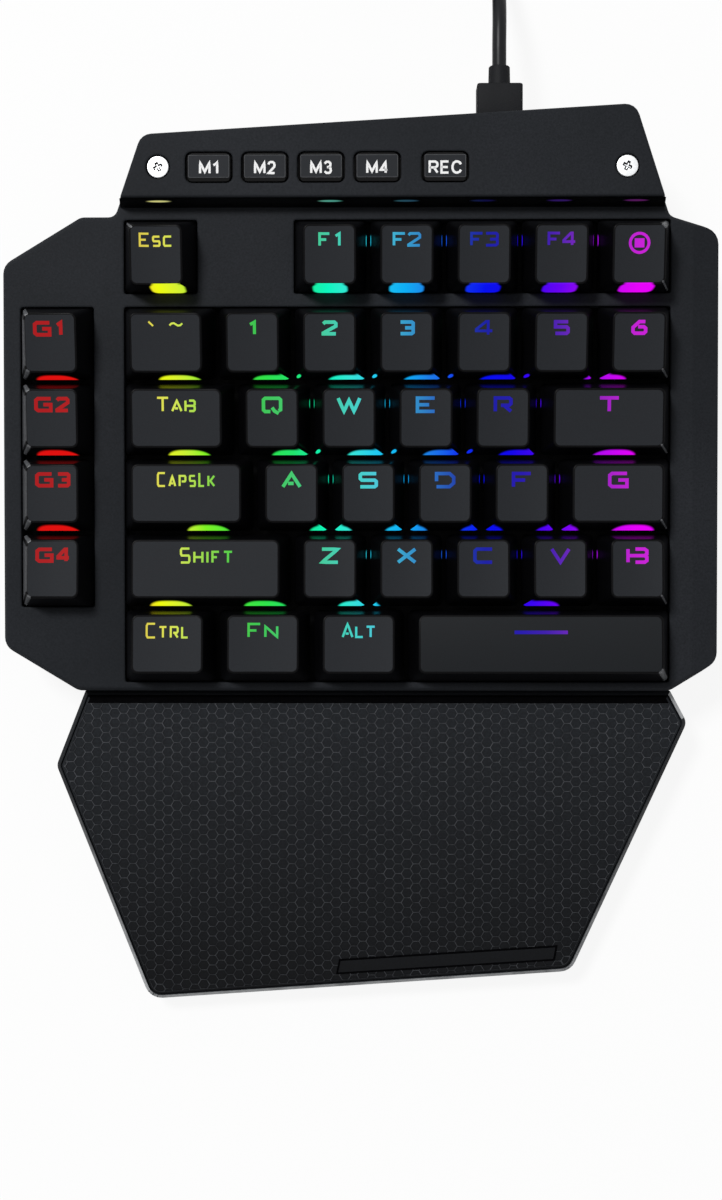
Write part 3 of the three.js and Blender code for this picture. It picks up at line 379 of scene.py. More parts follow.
# The switch plate is pressed steel, 1.5 mm thick, and sprayed black before the switches are clipped into it.
# The paint has a fine peel and keeps the wells between the keys dark.
painted_steel, steel_shader = new_finish("black_sprayed_steel", 0.5, Specular_IOR_Level=0.05)
peel = mottled(painted_steel, steel_shader, 0.8, 2, ("#060607", "#0d0d0f"))
bump = add(painted_steel, "ShaderNodeBump", {"Height": peel, "Strength": 0.2, "Distance": 0.00005})
link(painted_steel, bump.outputs["Normal"], steel_shader.inputs["Normal"])
dress("switch_plate", painted_steel)

# The boards are glass-epoxy laminate under a green solder mask. The glass cloth has a thread every 0.6 mm,
# and its weave just shows through.
solder_mask, mask_shader = new_finish("green_solder_mask", 0.35, IOR=1.55)
place = add(solder_mask, "ShaderNodeTexCoord")
weave = add(solder_mask, "ShaderNodeTexChecker", {
    "Vector": place.outputs["Object"], "Scale": 1 / 0.0006,
    "Color1": linear("#143626"), "Color2": linear("#183f2c"),
})
link(solder_mask, weave.outputs["Color"], mask_shader.inputs["Base Color"])
dress("circuit_board", solder_mask)
dress("macro_board", solder_mask)

# Thirty-nine keycaps, injection moulded in two shots: clear letters inside a black ABS skin. Each has a dished
# top that leans with its row and tapered skirts, is hollow below, and sits on its slider's post.
KEY_SPACING = 19.05
FUNCTION_ROW_SPACING = 21.8
CAP_BASE = 18
CAP_TOP = (12.34, 13.81)
CAP_LIFT = 5.8
CAP_WALL = 1.3
CAP_CEILING = 1.5
CAP_SHOULDER = 0.5
CAP_CORNER = 1.3
CAP_DISH = 0.45
CAP_SIDE_STEPS = 6
CAP_BEND_STEPS = 5
POST_WIDTH = 5.6
POST_DEPTH = 4.8
POST_FOOT = 1.5 - CAP_LIFT
POST_CORNERS = ((-1, -1), (1, -1), (1, 1), (-1, 1))
# Each row's height of cap, lean of its top in degrees, and how far the top stands to the rear.
CAP_ROWS = ((10.2, 8, -1.08), (10.2, 8, -0.88), (9, 5, -0.38), (8.5, 1, 0.08), (8.8, -3, 0.41), (9, -4, 0.75))
KEY_ROWS = (
    (("esc", 1), (None, 1.25), ("f1", 1), ("f2", 1), ("f3", 1), ("f4", 1), ("mode", 1)),
    (("grave", 1.25), ("1", 1), ("2", 1), ("3", 1), ("4", 1), ("5", 1), ("6", 1)),
    (("tab", 1.5), ("q", 1), ("w", 1), ("e", 1), ("r", 1), ("t", 1.75)),
    (("caps_lock", 1.75), ("a", 1), ("s", 1), ("d", 1), ("f", 1), ("g", 1.5)),
    (("shift", 2.25), ("z", 1), ("x", 1), ("c", 1), ("v", 1), ("b", 1)),
    (("ctrl", 1.25), ("fn", 1.25), ("alt", 1.25), ("space", 3.5)),
)
SIDE_COLUMN_X = -0.875 * KEY_SPACING
keys = []
for row, members in enumerate(KEY_ROWS):
    start = 0
    key_y = FUNCTION_ROW_SPACING if row == 0 else (1 - row) * KEY_SPACING
    for name, share in members:
        if name:
            keys.append((name, row, (start + share / 2) * KEY_SPACING, key_y, (share - 1) * KEY_SPACING))
        start += share
keys += [(f"g{row}", row, SIDE_COLUMN_X, (1 - row) * KEY_SPACING, 0) for row in (1, 2, 3, 4)]


def top_height(row, x, y, extra):
    """How high a cap's dished, leaning top lies above the cap's foot."""
    height, lean, shift = CAP_ROWS[row]
    plane = height + (y - shift) * math.tan(math.radians(lean))
    if extra > 2 * KEY_SPACING:
        share = min(abs(y - shift) / (CAP_TOP[1] / 2), 1)
        return plane - CAP_DISH * share * share
    share = min(abs(x) / ((CAP_TOP[0] + extra) / 2), 1)
    return plane - CAP_DISH * (1 - share * share)


def cap_rings(row, extra):
    """The rings of a cap, from its ceiling down inside, round its foot, up its skirts and in over its top."""
    shift = CAP_ROWS[row][2]
    across = CAP_SIDE_STEPS + round(extra / 2)
    width, depth = CAP_TOP[0] + extra, CAP_TOP[1]

    def ring(grow, base, height):
        reach = base or (width + 2 * grow, depth + 2 * grow)
        radius = max(min(CAP_CORNER + grow, min(reach) / 2 - 0.1), 0.2)
        middle = 0 if base else shift
        outline = rounded(*reach, radius, across, CAP_SIDE_STEPS, CAP_BEND_STEPS)
        return [(x, y + middle, height(x, y + middle) if callable(height) else height) for x, y in outline]

    def above(drop):
        return lambda x, y: top_height(row, x, y, extra) - drop

    foot = (CAP_BASE + extra, CAP_BASE)
    hollow = (foot[0] - 2 * CAP_WALL, foot[1] - 2 * CAP_WALL)
    rings = [
        ring(-CAP_WALL, None, above(CAP_CEILING)),
        ring(-CAP_WALL, hollow, 0),
        ring(0, foot, 0),
        ring(CAP_SHOULDER, None, above(CAP_SHOULDER)),
    ]
    rings += [
        ring(CAP_SHOULDER * math.cos(angle), None, above(CAP_SHOULDER * (1 - math.sin(angle))))
        for angle in (math.radians(step) for step in (25, 50, 75, 90))
    ]
    inwards = min(width, depth) / 2
    rings += [ring(-inwards * share, None, above(0)) for share in (0.02, 0.2, 0.4, 0.6, 0.8, 0.96)]
    return rings


# The skin is moulded ABS with a fine grain. Its top is a dark grey, and the space bar's top is painted darker,
# as painted shade.
cap_tops = []
for name, dark, light in (("keycap", "#222427", "#292b2f"), ("space_bar", "#1a1c1e", "#1f2124")):
    cap_top_abs, cap_top_shader = new_finish(f"{name}_top_abs", 0.5, IOR=1.54, Specular_IOR_Level=0.07)
    grain = mottled(cap_top_abs, cap_top_shader, 0.4, 3, (dark, light))
    bump = add(cap_top_abs, "ShaderNodeBump", {"Height": grain, "Strength": 0.3, "Distance": 0.00004})
    link(cap_top_abs, bump.outputs["Normal"], cap_top_shader.inputs["Normal"])
    cap_tops.append(cap_top_abs)

# A diode under each key lights it, and the diodes run through the rainbow from left to right. GLOW is their
# colour on the skirts, and LETTER_GLOW in the letters, at places in millimetres along the keypad.
GLOW = (
    (-17, "#E01210"), (-8, "#E41410"), (3, "#F7A63A"), (9.5, "#EEFB0D"), (14, "#D8F030"), (17, "#BEF137"),
    (21, "#7CF224"), (27, "#4CEB3A"), (36, "#30E34A"), (43, "#22E56C"), (52, "#0CF6C0"), (58, "#38E3DA"),
    (64, "#20C8F0"), (71, "#0CAEF6"), (77, "#1E7DE8"), (84, "#1238EE"), (91, "#0610EF"), (98, "#1408E8"),
    (104, "#4004F0"), (110, "#6B02F4"), (119, "#A80CEC"), (129, "#E802FA"),
)
LETTER_GLOW = (
    (-17, "#AE1418"), (-9, "#B4181A"), (3, "#DCC04A"), (10, "#E6E052"), (14, "#DAEA56"), (20, "#A4DE4C"),
    (27, "#5AD248"), (34, "#3CC850"), (43, "#44CD70"), (52, "#46CFA8"), (58, "#44D5C8"), (64, "#4BCBDC"),
    (71, "#359FCF"), (78, "#286EC4"), (84, "#1A3CAA"), (91, "#1419A6"), (100, "#2210B0"), (106, "#3E16AE"),
    (110, "#5C20B8"), (119, "#9A1CC4"), (129, "#CC1CDA"),
)
RAINBOW_START = -20
RAINBOW_SPAN = 152


def rainbow(material, colours):
    """The diodes' colour at each place along the keypad, as a colour socket of the material."""
    place = add(material, "ShaderNodeTexCoord")
    split = add(material, "ShaderNodeSeparateXYZ", {"Vector": place.outputs["Object"]})
    low = (RAINBOW_START + PLATE_CORNER[0]) / 1000
    along = add(material, "ShaderNodeMapRange", {
        "Value": split.outputs["X"], "From Min": low, "From Max": low + RAINBOW_SPAN / 1000,
    })
    spread = add(material, "ShaderNodeValToRGB", {"Fac": along.outputs["Result"]})
    stops = spread.color_ramp.elements
    while len(stops) < len(colours):
        stops.new(1)
    for stop, (x, colour) in zip(stops, colours):
        stop.position = (x - RAINBOW_START) / RAINBOW_SPAN
        stop.color = linear(colour)
    return spread.outputs["Color"]


# Clear ABS with the diodes behind it: it glows evenly in their colour.
lit_abs, lit_shader = new_finish(
    "lit_clear_abs", 0.4, IOR=1.54, Specular_IOR_Level=0.05, Emission_Strength=0.95,
)
lit_shader.inputs["Base Color"].default_value = linear("#060606")
link(lit_abs, rainbow(lit_abs, LETTER_GLOW), lit_shader.inputs["Emission Color"])

# The skirts are polished by the mould. Their near-black colour is painted shade, standing in for their
# neighbours' shade. The next row's diodes' light is painted on them as a glowing, soft-edged patch, flat where
# the skirt
# ends: a low lens between two rows, and a fat bar where the wider gap behind the number row lets more light
# out.
skirts = {}
for form, across_power, up_power in (("lens", 3, 1.3), ("bar", 3, 4)):
    skirt, skirt_shader = new_finish(f"keycap_skirt_abs_{form}", 0.35, IOR=1.54, Specular_IOR_Level=0.05)
    skirt_shader.inputs["Emission Strength"].default_value = 1
    mottled(skirt, skirt_shader, 0.4, 3, ("#040405", "#08080a"))
    patch = add(skirt, "ShaderNodeUVMap", uv_map="glow")
    split = add(skirt, "ShaderNodeSeparateXYZ", {"Vector": patch.outputs["UV"]})
    offset = add(skirt, "ShaderNodeMath", {0: split.outputs["X"]}, operation="ABSOLUTE")
    lift = add(skirt, "ShaderNodeMath", {0: split.outputs["Y"]}, operation="ABSOLUTE")
    offset = add(skirt, "ShaderNodeMath", {0: offset.outputs["Value"], 1: across_power}, operation="POWER")
    lift = add(skirt, "ShaderNodeMath", {0: lift.outputs["Value"], 1: up_power}, operation="POWER")
    reach = add(skirt, "ShaderNodeMath", {
        0: offset.outputs["Value"], 1: lift.outputs["Value"],
    }, operation="ADD")
    fade = add(skirt, "ShaderNodeMapRange", {
        "Value": reach.outputs["Value"], "From Min": 1.12, "From Max": 0.62,
    }, interpolation_type="SMOOTHSTEP")
    shine = add(skirt, "ShaderNodeMix", {"Factor": fade.outputs["Result"]}, data_type="RGBA")
    shine.inputs[6].default_value = (0, 0, 0, 1)
    link(skirt, rainbow(skirt, GLOW), shine.inputs[7])
    link(skirt, shine.outputs[2], skirt_shader.inputs["Emission Color"])
    skirts[form] = skirt

# On the outermost caps a soft grey shine is painted on the corners of the skirts, as a painted highlight, and
# the left sides of the side column are painted a dull grey, as painted light. Each painted stretch gives its
# first column of faces and its end.
painted_light_finishes = []
for name, roughness, dark, light in (
    ("corner", 0.32, "#4a4b4e", "#66686b"), ("side", 0.5, "#2c2d30", "#3a3b3e"),
):
    painted_light_abs, painted_light_shader = new_finish(f"keycap_worn_{name}_abs", roughness, IOR=1.54, Specular_IOR_Level=0.2)
    mottled(painted_light_abs, painted_light_shader, 0.8, 3, (dark, light), (0.3, 0.65))
    painted_light_finishes.append(painted_light_abs)
FRONT_RIGHT = (("front right", 2, 3),)
PAINTED_LIGHT_PLACES = {key: FRONT_RIGHT for key in ("6", "t", "g", "b")}
PAINTED_LIGHT_PLACES |= {
    "esc": (("rear left", 2, 3),), "mode": (("rear right", 1, 4), *FRONT_RIGHT),
    "space": (("front right", 1, 4),),
}
LEFT_SIDE = (("left", 0, 6), ("rear left", 1, 3), ("front left", 2, 4))
PAINTED_LIGHT_PLACES |= {f"g{row}": LEFT_SIDE for row in (1, 2, 3, 4)}

# The letters are drawn in strokes, in a plain squared style: each is a set of lines in a unit box.
LETTERS = {
    "A": (((0, 0), (0.5, 1), (1, 0)), ((0.3, 0.26), (0.62, 0.26))),
    "B": (((0, 1), (0, 0)), ((0.4, 1), (0.88, 1), (1, 0.88), (1, 0.62), (0.88, 0.5), (0, 0.5)),
          ((0.88, 0.5), (1, 0.38), (1, 0.12), (0.88, 0), (0.4, 0))),
    "C": (((1, 1), (0.12, 1), (0, 0.86), (0, 0.14), (0.12, 0), (1, 0)),),
    "D": (((0, 0.42), (0, 1), (0.76, 1), (1, 0.72), (1, 0.28), (0.76, 0), (0, 0)),),
    "E": (((1, 1), (0, 1), (0, 0), (1, 0)), ((0, 0.5), (0.68, 0.5))),
    "F": (((0, 0), (0, 1), (1, 1)), ((0, 0.5), (0.68, 0.5))),
    "G": (((1, 1), (0.14, 1), (0, 0.86), (0, 0.14), (0.14, 0), (1, 0), (1, 0.5), (0.5, 0.5)),),
    "H": (((0, 0), (0, 1)), ((1, 0), (1, 1)), ((0, 0.5), (1, 0.5))),
    "I": (((0.5, 0), (0.5, 1)),),
    "K": (((0, 0), (0, 1)), ((1, 1), (0.32, 0.5), (1, 0))),
    "L": (((0, 1), (0, 0), (1, 0)),),
    "N": (((0, 0), (0, 1), (1, 0), (1, 1)),),
    "P": (((0, 0), (0, 1), (0.88, 1), (1, 0.88), (1, 0.57), (0.88, 0.45), (0.36, 0.45)),),
    "Q": (((0.4, 0), (0.1, 0), (0, 0.12), (0, 0.88), (0.1, 1), (0.9, 1), (1, 0.88), (1, 0.14), (0.88, 0.06)),
          ((0.5, 0.3), (0.64, 0.04), (0.88, -0.14))),
    "R": (((0, 0), (0, 1), (0.88, 1), (1, 0.88), (1, 0.57), (0.88, 0.45), (0.36, 0.45)),
          ((0.55, 0.45), (1, 0))),
    "S": (((1, 1), (0.1, 1), (0, 0.9), (0, 0.62), (0.1, 0.5), (0.9, 0.5), (1, 0.4), (1, 0.1), (0.9, 0),
           (0, 0)),),
    "T": (((0, 1), (1, 1)), ((0.5, 1), (0.5, 0))),
    "V": (((0, 1), (0.5, 0), (1, 1)),),
    "W": (((0, 1), (0.27, 0), (0.5, 0.85), (0.73, 0), (1, 1)),),
    "X": (((0, 1), (1, 0)), ((0, 0), (1, 1))),
    "Z": (((0, 1), (1, 1), (0, 0), (1, 0)),),
    "1": (((0, 0.8), (1, 1), (1, 0)),),
    "2": (((0, 0.86), (0.14, 1), (0.88, 1), (1, 0.88), (1, 0.66), (0, 0.06), (0, 0), (1, 0)),),
    "3": (((0, 1), (0.88, 1), (1, 0.9), (1, 0.6), (0.88, 0.5), (0.36, 0.5)),
          ((0.88, 0.5), (1, 0.4), (1, 0.1), (0.88, 0), (0, 0))),
    "4": (((0.74, 0), (0.74, 1), (0.62, 1), (0, 0.4), (0, 0.28), (1, 0.28)),),
    "5": (((1, 1), (0, 1), (0, 0.56), (0.88, 0.56), (1, 0.44), (1, 0.12), (0.88, 0), (0, 0)),),
    "6": (((0.96, 1), (0.5, 1), (0, 0.5), (0, 0.14), (0.14, 0), (0.86, 0), (1, 0.14), (1, 0.42), (0.86, 0.56),
           (0.4, 0.56)),),
    "`": (((0, 1), (1, 0)),),
    "~": (((0, 0.2), (0.16, 0.8), (0.34, 0.9), (0.66, 0.1), (0.84, 0.2), (1, 0.8)),),
    "-": (((0, 0.5), (1, 0.5)),),
}
# Each key's legend: the text, its whole width, the height of its capitals and of its other letters, which are
# small capitals, the stroke and the gap. The single letters share one size, and so do most of the digits.
BIG = (4.1, 4.1, 0.85, 0)
BIG_WIDTH = 5.1
BIG_WIDTHS = {"b": 5.5, "r": 4.7, "s": 4.8, "t": 5.5, "w": 6.2, "z": 4.8}
DIGIT = (3.95, 3.65, 3.65, 0.85, 0)
LEGENDS = {
    "esc": ("Esc", 8.25, 3.4, 2.7, 0.5, 0.6), "f1": ("F1", 5.5, 3.5, 3.5, 0.65, 0.9),
    "f2": ("F2", 7.0, 3.5, 3.5, 0.65, 0.25), "f3": ("F3", 7.0, 3.5, 3.5, 0.65, 0.25),
    "f4": ("F4", 7.1, 3.5, 3.5, 0.65, 0.3), "grave": ("` ~", 8.8, 1.5, 1.2, 0.45, 3.6),
    "tab": ("Tab", 9.85, 3.8, 3.1, 0.55, 0.45), "caps_lock": ("CapsLk", 14.5, 3.7, 3.0, 0.5, 0.6),
    "shift": ("Shift", 12.7, 4.0, 3.2, 0.55, 0.7), "ctrl": ("Ctrl", 10.7, 3.9, 3.1, 0.5, 0.6),
    "fn": ("Fn", 7.7, 3.8, 3.2, 0.6, 0.7), "alt": ("Alt", 8.5, 3.8, 3.1, 0.55, 0.4),
    "space": ("-", 14.1, 1.3, 1.3, 0.9, 0), "g1": ("G1", 7.3, 3.8, 3.8, 0.9, 1.0),
    "g2": ("G2", 8.8, 3.8, 3.8, 0.9, 0.7), "g3": ("G3", 8.8, 3.8, 3.8, 0.9, 0.7),
    "g4": ("G4", 8.8, 3.8, 3.8, 0.9, 0.7),
}
LEGENDS |= {
    name: (name.upper(), *(DIGIT if name.isdigit() else (BIG_WIDTHS.get(name, BIG_WIDTH), *BIG)))
    for name, *_ in keys if name not in LEGENDS and name != "mode"
}
LEGENDS["1"] = ("1", 1.8, 3.65, 3.65, 0.75, 0)
LEGENDS["4"] = ("4", 4.6, 3.8, 3.8, 0.65, 0)
NARROW = {"I": 0, "1": 0.5, "F": 0.85, "G": 1.1, "L": 0.85, "S": 0.9, "`": 0.38}
FIRST_WIDER = 1.15
LEGEND_INSET = 1.6
SPACE_INSET = 3.3
LEGEND_ASIDE = {"g1": -0.5, "g2": 0.2, "g3": 0.2, "g4": 0.2}
LEGEND_LIFT = 0.03
LEGEND_STEP = 1
ICON_RADIUS = 2.3
ICON_STROKE = 0.7
ICON_SIDES = 24
ICON_DROP = 2.7
ICON_SQUARE = (2.4, 2.2)


def ribbon(line, stroke):
    """The left and right edge of a stroke of even width along a line, mitred where it turns."""
    points = [Vector(point) for point in line]
    fine = [points[0]]
    for start, end in zip(points, points[1:]):
        count = max(1, math.ceil((end - start).length / LEGEND_STEP))
        fine += [start.lerp(end, step / count) for step in range(1, count + 1)]
    left, right = [], []
    for index, point in enumerate(fine):
        before = (point - fine[index - 1]).normalized() if index else (fine[1] - point).normalized()
        after = (fine[index + 1] - point).normalized() if index + 1 < len(fine) else before
        normal = Vector((-before.y - after.y, before.x + after.x)).normalized()
        half = stroke / 2 / max(normal.dot(Vector((-before.y, before.x))), 0.5)
        left.append(point + normal * half)
        right.append(point - normal * half)
    return left, right


def ribbon_faces(start, half):
    """The faces of a ribbon. Its left edge starts at a point of the mesh, and its right edge follows."""
    return [(start + n, start + half + n, start + half + n + 1, start + n + 1) for n in range(half - 1)]


def strokes_of(text, width, first_height, height, stroke, gap):
    """All the lines of a legend, in millimetres, centred on x = 0 and hanging below y = 0."""
    letters = [letter for letter in text if letter != " "]
    shares = [NARROW.get(letter.upper(), 1) for letter in letters]
    shares[0] *= FIRST_WIDER
    unit = (width - gap * (len(letters) - 1)) / sum(shares)
    x = -width / 2
    lines = []
    for letter, share in zip(letters, shares):
        wide = max(share * unit, stroke)
        tall = height if letter.islower() or letter == "~" else first_height
        for line in LETTERS[letter.upper()]:
            lines.append([
                (x + stroke / 2 + u * (wide - stroke), -first_height + stroke / 2 + v * (tall - stroke))
                for u, v in line
            ])
        x += wide + gap
    return lines


# A cap's faces lie in bands between its rings: the outer skirt, then the rounded shoulder, then the top.
SKIRT_BAND = 2
SHOULDER_END = 7
TOP_BAND = 8
# The diodes' light lies on the skirts in patches in front, in a drop on the front left corner of a few caps,
# and in streaks between neighbours. Each has its middle and its reach, which is 1 on the map "glow". A patch
# has the band where it ends, its reach to each side, its middle height and its reach upwards.
PATCHES = {"lens": (4, 5.4, 0, 6.2), "bar": (7, 4.45, 4.6, 5.2)}
FRONT_MARGIN = 0.2
DROP_KEYS = ("2", "3", "4", "5", "w", "e", "r")
DROP_TURN = 2.5
DROP_MIDDLE = 2.2
DROP_REACH = 2
STREAK_ROWS = (0, 2, 3, 4)
STREAK_START = 45
STREAK_MIDDLE = (4, -0.95)
STREAK_REACH = (1.6, 1.5)
UNLIT = (9, 9)
TOP, SKIRT, LETTER, CORNER_HIGHLIGHT, LIT_SIDE = range(5)
for name, row, key_x, key_y, extra in keys:
    rings = cap_rings(row, extra)
    faces = loft(rings)
    count = len(rings[0])
    points = [Vector(point) for ring in rings for point in ring]
    first_top = 1 + TOP_BAND * count
    slots = [SKIRT] * first_top + [TOP] * (len(faces) - first_top)

    post = len(points)
    post_top = CAP_ROWS[row][0] - CAP_CEILING - CAP_DISH
    points += [
        Vector((side_x * POST_WIDTH / 2, side_y * POST_DEPTH / 2, z))
        for z in (POST_FOOT, post_top) for side_x, side_y in POST_CORNERS
    ]
    faces += [tuple(post + index for index in face) for face in loft([POST_CORNERS, POST_CORNERS])]
    slots += [SKIRT] * (len(faces) - len(slots))

    if name == "mode":
        turns = [math.tau * n / ICON_SIDES for n in range(ICON_SIDES + 1)]
        icon_ring = [(ICON_RADIUS * math.sin(a), ICON_RADIUS * math.cos(a) - ICON_DROP) for a in turns]
        icon_square = [(side * ICON_SQUARE[0] / 2, -ICON_DROP) for side in (-1, 1)]
        strokes = [(icon_ring, ICON_STROKE), (icon_square, ICON_SQUARE[1])]
    else:
        strokes = [(line, LEGENDS[name][-2]) for line in strokes_of(*LEGENDS[name])]
    shift = CAP_ROWS[row][2]
    legend_top = shift + CAP_TOP[1] / 2 - (SPACE_INSET if name == "space" else LEGEND_INSET)
    for line, stroke in strokes:
        left, right = ribbon(line, stroke)
        faces += ribbon_faces(len(points), len(left))
        slots += [LETTER] * (len(left) - 1)
        for point in [*left, *right]:
            x, y = point.x + LEGEND_ASIDE.get(name, 0), point.y + legend_top
            points.append(Vector((x, y, top_height(row, x, y, extra) + LEGEND_LIFT)))

    form = "bar" if row == 0 else "lens"
    cap = shaped(
        f"keycap_{name}",
        [placed(key_x + x, key_y + y, CAP_LIFT + z) for x, y, z in points],
        faces,
        [cap_tops[name == "space"], skirts[form], lit_abs, *painted_light_finishes],
    )
    right_end = CAP_BEND_STEPS + CAP_SIDE_STEPS
    rear_left = right_end + CAP_BEND_STEPS + CAP_SIDE_STEPS + round(extra / 2)
    left_start = rear_left + CAP_BEND_STEPS
    left_end = left_start + CAP_SIDE_STEPS
    columns = {
        "front right": (0, CAP_BEND_STEPS), "right": (CAP_BEND_STEPS, right_end),
        "rear right": (right_end, right_end + CAP_BEND_STEPS), "rear left": (rear_left, left_start),
        "left": (left_start, left_end), "front left": (left_end, left_end + CAP_BEND_STEPS),
    }
    # Paint the highlights on the outer caps' corners and on the side column's left sides.
    for part, first, last in PAINTED_LIGHT_PLACES.get(name, ()):
        painted_light = LIT_SIDE if part == "left" else CORNER_HIGHLIGHT
        for band in range(SKIRT_BAND, SHOULDER_END):
            start = 1 + band * count + columns[part][0]
            slots[start + first:start + last] = [painted_light] * (last - first)
    cap.data.polygons.foreach_set("material_index", slots)

    glow = cap.data.uv_layers.new(name="glow")
    patch_end, patch_reach, patch_middle, patch_rise = PATCHES[form]
    below = [other[2] for other in keys if other[1] == row + 1 and (other[2] < 0) == (key_x < 0)]
    beside = [
        key_x - other[2] for other in keys
        if other[1] == row and abs(key_x - other[2]) < (extra + other[4]) / 2 + KEY_SPACING + 1
    ]
    for face in cap.data.polygons:
        corners = [points[index] for index in face.vertices]
        facing = all(corner.y < shift - CAP_TOP[1] / 2 + FRONT_MARGIN for corner in corners)
        band, column = divmod(face.index - 1, count)
        uvs = [UNLIT] * face.loop_total
        if below and facing and SKIRT_BAND <= band < patch_end:
            middle = key_x + sum(corner.x for corner in corners) / len(corners)
            diode = min(below, key=lambda x: abs(x - middle))
            uvs = [
                ((key_x + corner.x - diode) / patch_reach, (corner.z - patch_middle) / patch_rise)
                for corner in corners
            ]
        start, end = columns["front left"]
        if band == SKIRT_BAND and name in DROP_KEYS and start <= column < end:
            turn = (column - start) / CAP_BEND_STEPS * 2 * DROP_TURN - DROP_TURN
            uvs = [
                (turn if index in (0, 3) else turn + 2 * DROP_TURN / CAP_BEND_STEPS,
                 (corner.z - DROP_MIDDLE) / DROP_REACH)
                for index, corner in enumerate(corners)
            ]
        for side, sign in (("left", 1), ("right", -1)):
            start, end = columns[side]
            between = any(gap * sign > 0 for gap in beside) and key_x + corners[0].x > STREAK_START
            if band == SKIRT_BAND and row in STREAK_ROWS and start <= column < end and between:
                uvs = [
                    ((corner.y - STREAK_MIDDLE[0]) / STREAK_REACH[0],
                     (corner.z - STREAK_MIDDLE[1]) / STREAK_REACH[1])
                    for corner in corners
                ]
        for loop, uv in zip(face.loop_indices, uvs):
            glow.data[loop].uv = uv
    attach(cap, f"key_{name}")
    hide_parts(f"key_{name}")

# Five small buttons stand in openings of the rear bar, each with a flange that holds it in from below and a
# stem over its switch. They are gloss black ABS with broad bevels, a grained top, and plain letters that are
# pad-printed in white.
BUTTONS = (("m1", 22.3), ("m2", 36.25), ("m3", 50.2), ("m4", 64.15), ("rec", 81))
BUTTON_Y = 43
BUTTON_CAP = (11.2, 7.1, 1.4)
BUTTON_FACE = (10.2, 5.6, 0.35)
BUTTON_FACE_SHIFT = 0.12
BUTTON_TOP = 12.5
BUTTON_BEVEL = 0.5
BUTTON_ROUNDING = 0.1
BUTTON_HAIRLINE = 0.14
BUTTON_STEPS = (4, 3, 6)
BUTTON_FLOOR = BUTTON_TOP - 0.04
BUTTON_INNER = 2
FLANGE_SIZE = (12.6, 8.5, 0.5)
FLANGE_STEPS = (1, 1, 2)
FLANGE_LOW = 8.7
FLANGE_HIGH = 9.7
STEM_RADIUS = 1.5
STEM_SIDES = 16
STEM_FOOT = 7.8
PRINT_LIFT = 0.03
PRINT_STROKE = 0.57
PRINT_HEIGHT = 3.3
PRINT_GAP = 0.42
PRINT_DROP = 0.35
# Each printed letter's width, and its lines in a unit box.
PRINTED = {
    "M": (2.9, (((0, 0), (0, 1), (0.5, 0.12), (1, 1), (1, 0)),)),
    "R": (2.5, (((0, 0), (0, 1), (0.72, 1), (0.94, 0.9), (1, 0.74), (0.94, 0.58), (0.72, 0.47), (0, 0.47)),
                 ((0.55, 0.47), (1, 0)))),
    "E": (2.3, (((1, 1), (0, 1), (0, 0), (1, 0)), ((0, 0.5), (0.9, 0.5)))),
    "C": (2.65, (((1, 0.74), (0.86, 0.92), (0.62, 1), (0.38, 1), (0.14, 0.88), (0, 0.62), (0, 0.38),
                  (0.14, 0.12), (0.38, 0), (0.62, 0), (0.86, 0.08), (1, 0.26)),)),
    "1": (1.5, (((0, 0.72), (0.7, 0.86), (1, 1), (1, 0)),)),
    "2": (2.1, (((0, 0.78), (0.14, 0.94), (0.36, 1), (0.66, 1), (0.9, 0.9), (1, 0.72), (0.92, 0.54),
                 (0, 0), (1, 0)),)),
    "3": (2.1, (((0, 0.84), (0.3, 1), (0.68, 1), (0.92, 0.88), (0.92, 0.64), (0.66, 0.53), (0.38, 0.53)),
                ((0.66, 0.53), (0.96, 0.4), (1, 0.2), (0.9, 0.06), (0.66, 0), (0.3, 0), (0, 0.14)))),
    "4": (2.2, (((0.75, 0), (0.75, 1), (0, 0.27), (1, 0.27)),)),
}

# The gloss black ABS has a slight haze, which shows as an uneven sheen.
gloss_abs, gloss_shader = new_finish("gloss_black_abs", 0.22, IOR=1.54, Specular_IOR_Level=0.12)
haze = mottled(gloss_abs, gloss_shader, 3, 3, ("#050506", "#0a0a0b"))
sheen = add(gloss_abs, "ShaderNodeMapRange", {"Value": haze, "To Min": 0.18, "To Max": 0.3})
link(gloss_abs, sheen.outputs["Result"], gloss_shader.inputs["Roughness"])

# The raised edge round each face is painted a thin grey line, as a painted highlight.
hairline_highlight_abs, hairline_highlight_shader = new_finish("painted_hairline_highlight_abs", 0.3, IOR=1.54, Specular_IOR_Level=0.3)
mottled(hairline_highlight_abs, hairline_highlight_shader, 1.5, 4, ("#2a2b2e", "#585a5e"))

# The pad-printed ink is flat white, with specks where it is thin.
white_ink, ink_shader = new_finish("white_printed_ink", 0.5, IOR=1.5, Specular_IOR_Level=0.3)
mottled(white_ink, ink_shader, 0.5, 2, ("#ececec", "#fbfbfb"))


def button_ring(size, grow, height):
    """One ring of a button's skin: the outline of its cap or its face, moved outwards, at a height."""
    outline = rounded(size[0] + 2 * grow, size[1] + 2 * grow, max(size[2] + grow, 0.15), *BUTTON_STEPS)
    shift = BUTTON_FACE_SHIFT if size is BUTTON_FACE else 0
    return [(x, y + shift, height) for x, y in outline]


BEVEL, EDGE, FACE, PRINT = range(4)
rings = [
    button_ring(BUTTON_CAP, 0, FLANGE_LOW),
    button_ring(BUTTON_CAP, 0, BUTTON_TOP - BUTTON_BEVEL - BUTTON_ROUNDING),
    button_ring(BUTTON_CAP, -BUTTON_ROUNDING / 2, BUTTON_TOP - BUTTON_BEVEL),
    button_ring(BUTTON_FACE, 0, BUTTON_FLOOR),
    button_ring(BUTTON_FACE, -BUTTON_HAIRLINE / 2, BUTTON_TOP),
    button_ring(BUTTON_FACE, -BUTTON_HAIRLINE, BUTTON_FLOOR),
    button_ring(BUTTON_FACE, -BUTTON_INNER, BUTTON_FLOOR),
]
stem = [
    (STEM_RADIUS * math.cos(a), STEM_RADIUS * math.sin(a))
    for a in (math.tau * n / STEM_SIDES for n in range(STEM_SIDES))
]
flange = rounded(*FLANGE_SIZE, *FLANGE_STEPS)
